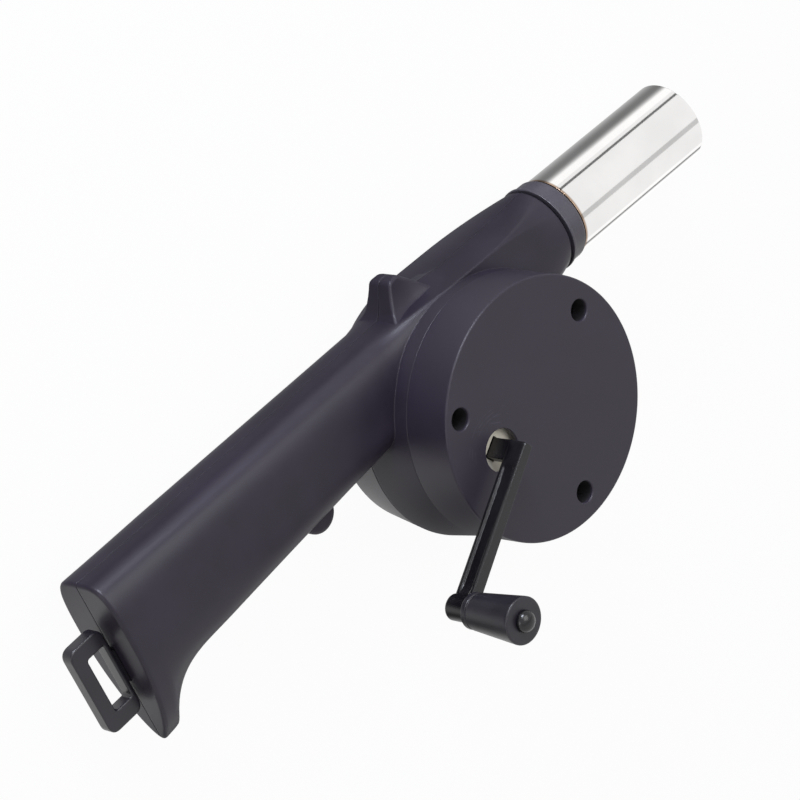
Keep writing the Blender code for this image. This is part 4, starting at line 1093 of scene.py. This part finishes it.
@dataclass
class PanScrew:
    """A pan-head screw with a cross recess."""

    name: str
    place: Point
    seat: float
    tip: float
    head_radius: float = 2.7
    head_height: float = 1.5
    shank_radius: float = 1.15
    gap: float = 0.3
    slot: float = 0.34
    reach: float = 1.5
    depth: float = 1.0
    thread: float = 0.16
    pitch: float = 0.9
    point: float = 2.0

    def build(self) -> Body:
        """Makes the screw from one polar grid.

        The head's height is a flat dome. It is lowered by the cross: where the smaller of |x| and |y| is under the
        slot's half width, and the larger is under its reach, less deep outwards. A threaded shank follows.
        """
        down = 1.0 if self.tip < self.seat else -1.0
        under = self.seat + down * self.gap
        turn = np.linspace(0, FULL_TURN, 96, endpoint=False)[None, :]
        radius = np.concatenate([np.linspace(0.02, 1.7, 22), [2.0, 2.3, 2.5, 2.62, 2.69, self.head_radius]])[:, None]
        x, y = radius * np.cos(turn), radius * np.sin(turn)
        small, large = np.minimum(abs(x), abs(y)), np.maximum(abs(x), abs(y))
        narrow = 1 - eased_step(small, self.slot, self.slot + 0.1)
        cross = narrow * (1 - eased_step(large, self.reach, self.reach + 0.12))
        dome = self.head_height - 0.55 * (radius / self.head_radius) ** 2.6 - 0.35 * eased_step(radius, 2.45, 2.7)
        top = under + down * (dome - self.depth * (1.1 - large / self.reach * 0.4) * cross)
        rows = [np.stack([self.place[0] + x, self.place[1] + y, top], axis=-1)]
        length = abs(self.tip - under)
        level = np.concatenate([[0.0, 0.0], np.linspace(0.02, 1, 60)]) * (length - 0.1)
        thread = self.thread * (0.5 + 0.5 * np.sin(level * FULL_TURN / self.pitch)[:, None] * np.ones_like(turn))
        shank = self.shank_radius - self.thread + thread
        shank = shank * np.clip((length - level) / self.point, 0.02, 1)[:, None]
        shank[0] = self.head_radius
        rows.append(np.stack([self.place[0] + shank * np.cos(turn), self.place[1] + shank * np.sin(turn),
                              np.repeat((under - down * level)[:, None], turn.shape[1], axis=1)], axis=-1))
        return lofted(self.name, np.concatenate(rows), 35.0)


class Fasteners:
    """The screws that hold the cover, the halves and the crank."""

    def build(self) -> None:
        """Builds and dresses every screw."""
        rows = (("lid", "cover", COVER_SCREWS, COVER_SEAT, 34.4), ("casing", "shell", SHELL_SCREWS, SHELL_SEAT, 26.0))
        for name, node, places, seat, tip in rows:
            for number, place in enumerate(places, 1):
                screw = PanScrew(f"{name}_screw_{number}", place, seat, tip).build()
                dressed(screw, ZINC, "casing", f"{node}_screw_{number}")
        screw = PanScrew("shank_screw", CRANK_AXIS, CRANK_SEAT, 51.3).build()
        dressed(screw, ZINC, "crank_unit", "crank_screw")


class InnerWorks:
    """The gears, shafts, bushes and fan, which keep their solids."""

    finishes: Mapping[str, Finish] = {
        "crank_gear": NYLON, "idler_gear": NYLON, "fan_pinion": NYLON, "idler_washer": NYLON, "fan_washer": NYLON,
        "idler_axle": ZINC, "fan_shaft": ZINC, "intake_bush": BRASS, "deck_bush": BRASS, "impeller": FAN,
    }

    def build(self) -> None:
        """Repaints every inner node."""
        for node, finish in self.finishes.items():
            repainted(node, finish)


# The studio


@dataclass
class Studio:
    """A white floor and world, soft lights and the photograph's camera."""

    camera_place: Triple = (-0.5463, 0.4432, 0.7463)
    axes: tuple[Triple, Triple, Triple] = ((0.6500, -0.3519, 0.6736), (0.5483, 0.8309, -0.0950),
                                           (-0.5262, 0.4311, 0.7330))
    lens: float = 150.04
    sensor: float = 36.0
    middle: Triple = (-0.02, 0.01, 0.025)
    world_light: Triple = (1.0, 0.95, 0.38)
    corners: tuple[Point, ...] = ((-1, -1), (1, -1), (1, 1), (-1, 1))
    floor_half: float = 3000.0
    floor_glow: Triple = (0.96, 0.0, 0.0)
    # Painted shadow on the floor beside the blower, seen only by mirrored rays: middle, low, high and grey
    contact_shade: tuple[float, ...] = (59.0, 2.0, 46.0, 0.2)
    card_distance: float = 1100.0
    card_half: float = 2500.0

    def aimed(self, made: Body, place: Sequence[float], axes: Sequence[Sequence[float]]) -> Body:
        """Moves an object to a place, with its X, Y and Z along three directions."""
        made.matrix_world = Matrix.Translation(place) @ Matrix(axes).transposed().to_4x4()
        return made

    def camera(self) -> None:
        """Places the camera where the photograph was taken."""
        data = bpy.data.cameras.new("camera")
        data.lens, data.sensor_width, data.sensor_fit = self.lens, self.sensor, "AUTO"
        data.clip_start, data.clip_end = 0.05, 20.0
        bpy.context.scene.camera = self.aimed(linked("camera", data), self.camera_place, self.axes)

    def light(self, name: str, direction: Sequence[float], distance: float, size: float, power: float,
              colour: Colour = (1, 1, 1)) -> None:
        """Places a square soft light that faces the blower.

        Args:
            name: The light's name.
            direction: Weights of the picture's right, up and towards the camera.
            distance: Metres from the blower.
            size: Its side in metres.
            power: Watts.
            colour: Its tint.
        """
        data = bpy.data.lights.new(name, "AREA")
        data.shape, data.size, data.energy, data.color = "SQUARE", size, power, colour
        towards = np.array(direction) @ np.array(self.axes)
        towards /= np.linalg.norm(towards)
        place = np.array(self.middle) + towards * distance
        side = np.cross([0.31, 0.27, 0.91], towards)
        side /= np.linalg.norm(side)
        self.aimed(linked(name, data), place, (side, np.cross(towards, side), towards))

    def seen(self, graph: Graph, direct: float, mirrored: float, others: float) -> Value:
        """Returns one number for rays from the camera or through glass, one for mirrored rays and one for others."""
        kinds = ("Camera", "Transmission", "Glossy")
        rays = [graph.add("ShaderNodeLightPath", output=f"Is {kind} Ray") for kind in kinds]
        return rays[0].maths("MAXIMUM", rays[1]) * (direct - others) + rays[2] * (mirrored - others) + others

    def world(self) -> None:
        """Makes a world that is white to the camera, nearly so to mirrors, and softer as a light."""
        world = bpy.data.worlds.new("studio")
        world.use_nodes = True
        bpy.context.scene.world = world
        graph = Graph(tree=world.node_tree)
        background = graph.nodes["Background"]
        background.inputs["Color"].default_value = (1, 1, 1, 1)
        graph.feed(background.inputs["Strength"], self.seen(graph, *self.world_light))

    def floor(self) -> None:
        """Makes a wide white floor under the blower, which keeps a faint shadow, and shows mirrored rays a painted
        shadow beside the blower.
        """
        corners = [(x * self.floor_half, y * self.floor_half, -0.05) for x, y in self.corners]
        made = solid("floor", np.array(corners), [[0, 1, 2, 3]])
        graph = Graph("floor_white")
        graph.dress({"Base Color": (0.55, 0.55, 0.55, 1), "Roughness": 0.9, "Specular IOR Level": 0.0})
        # Painted shadow: the glow that mirrored rays see dims to grey near the blower
        middle, low, high, grey = self.contact_shade
        away = (graph.parts(graph.place())[1].size() - middle).size().over(low, high) * (1.1 - grey) + grey
        shader = Value(graph, graph.shader.outputs[0])
        glossy = graph.add("ShaderNodeLightPath", output="Is Glossy Ray")
        for share, glow in ((self.seen(graph, *self.floor_glow), 1.0), (glossy, away)):
            shader = graph.add("ShaderNodeMixShader", inputs={0: share, 1: shader, 2: graph.glowing(glow)})
        graph.surface(shader)
        made.data.materials.append(graph.material)

    def card(self, name: str, bearing: float, width: float, grey: float) -> None:
        """Places a long card beside the tube that only mirrored rays see.

        Args:
            name: The card's name.
            bearing: Degrees from Y towards Z, seen from the tube's axis.
            width: The angle in degrees that the card covers.
            grey: Its brightness.
        """
        distance, turn = self.card_distance, np.radians(bearing)
        out, side = np.array([0, np.cos(turn), np.sin(turn)]), np.array([0, -np.sin(turn), np.cos(turn)])
        half = side * distance * np.tan(np.radians(width / 2))
        centre = np.array([80.0, TUBE_HEIGHT, SEAM]) + out * distance
        along = np.array([self.card_half, 0, 0])
        corners = [centre + x * along + y * half for x, y in self.corners]
        made = solid(name, np.array(corners), [[0, 1, 2, 3]])
        graph = Graph(name)
        graph.surface(graph.glowing(grey))
        made.data.materials.append(graph.material)
        made.visible_camera = made.visible_diffuse = made.visible_shadow = made.visible_transmission = False

    def build(self) -> None:
        """Sets up the studio."""
        bpy.context.scene.view_settings.view_transform = "Standard"
        self.camera()
        self.world()
        self.floor()
        self.card("dark_line", 14.0, 7.0, 0.16)
        self.card("grey_line", 108.0, 14.0, 0.6)
        self.light("overhead", (-0.1, 1.0, 1.25), 1.0, 0.3, 4.5, (0.84, 0.88, 1.0))
        self.light("band", (-0.25, 1.0, 0.85), 1.0, 0.2, 6.0, (0.80, 0.86, 1.0))
        self.light("front", (0.75, 0.35, 1.0), 0.7, 0.45, 1.9)
        self.light("low_left", (-1.0, -0.6, 1.2), 1.2, 0.5, 1.6)


def main() -> None:
    """Builds the studio and every sub-assembly in order."""
    logging.basicConfig(level=logging.INFO, format="%(message)s")
    for maker in (Studio, InnerWorks, Casing, GearboxCover, Nozzle, HangingLoop, Crank, Fasteners):
        maker().build()
        LOG.info("built %s", maker.__name__)


if __name__ == "__main__":
    main()
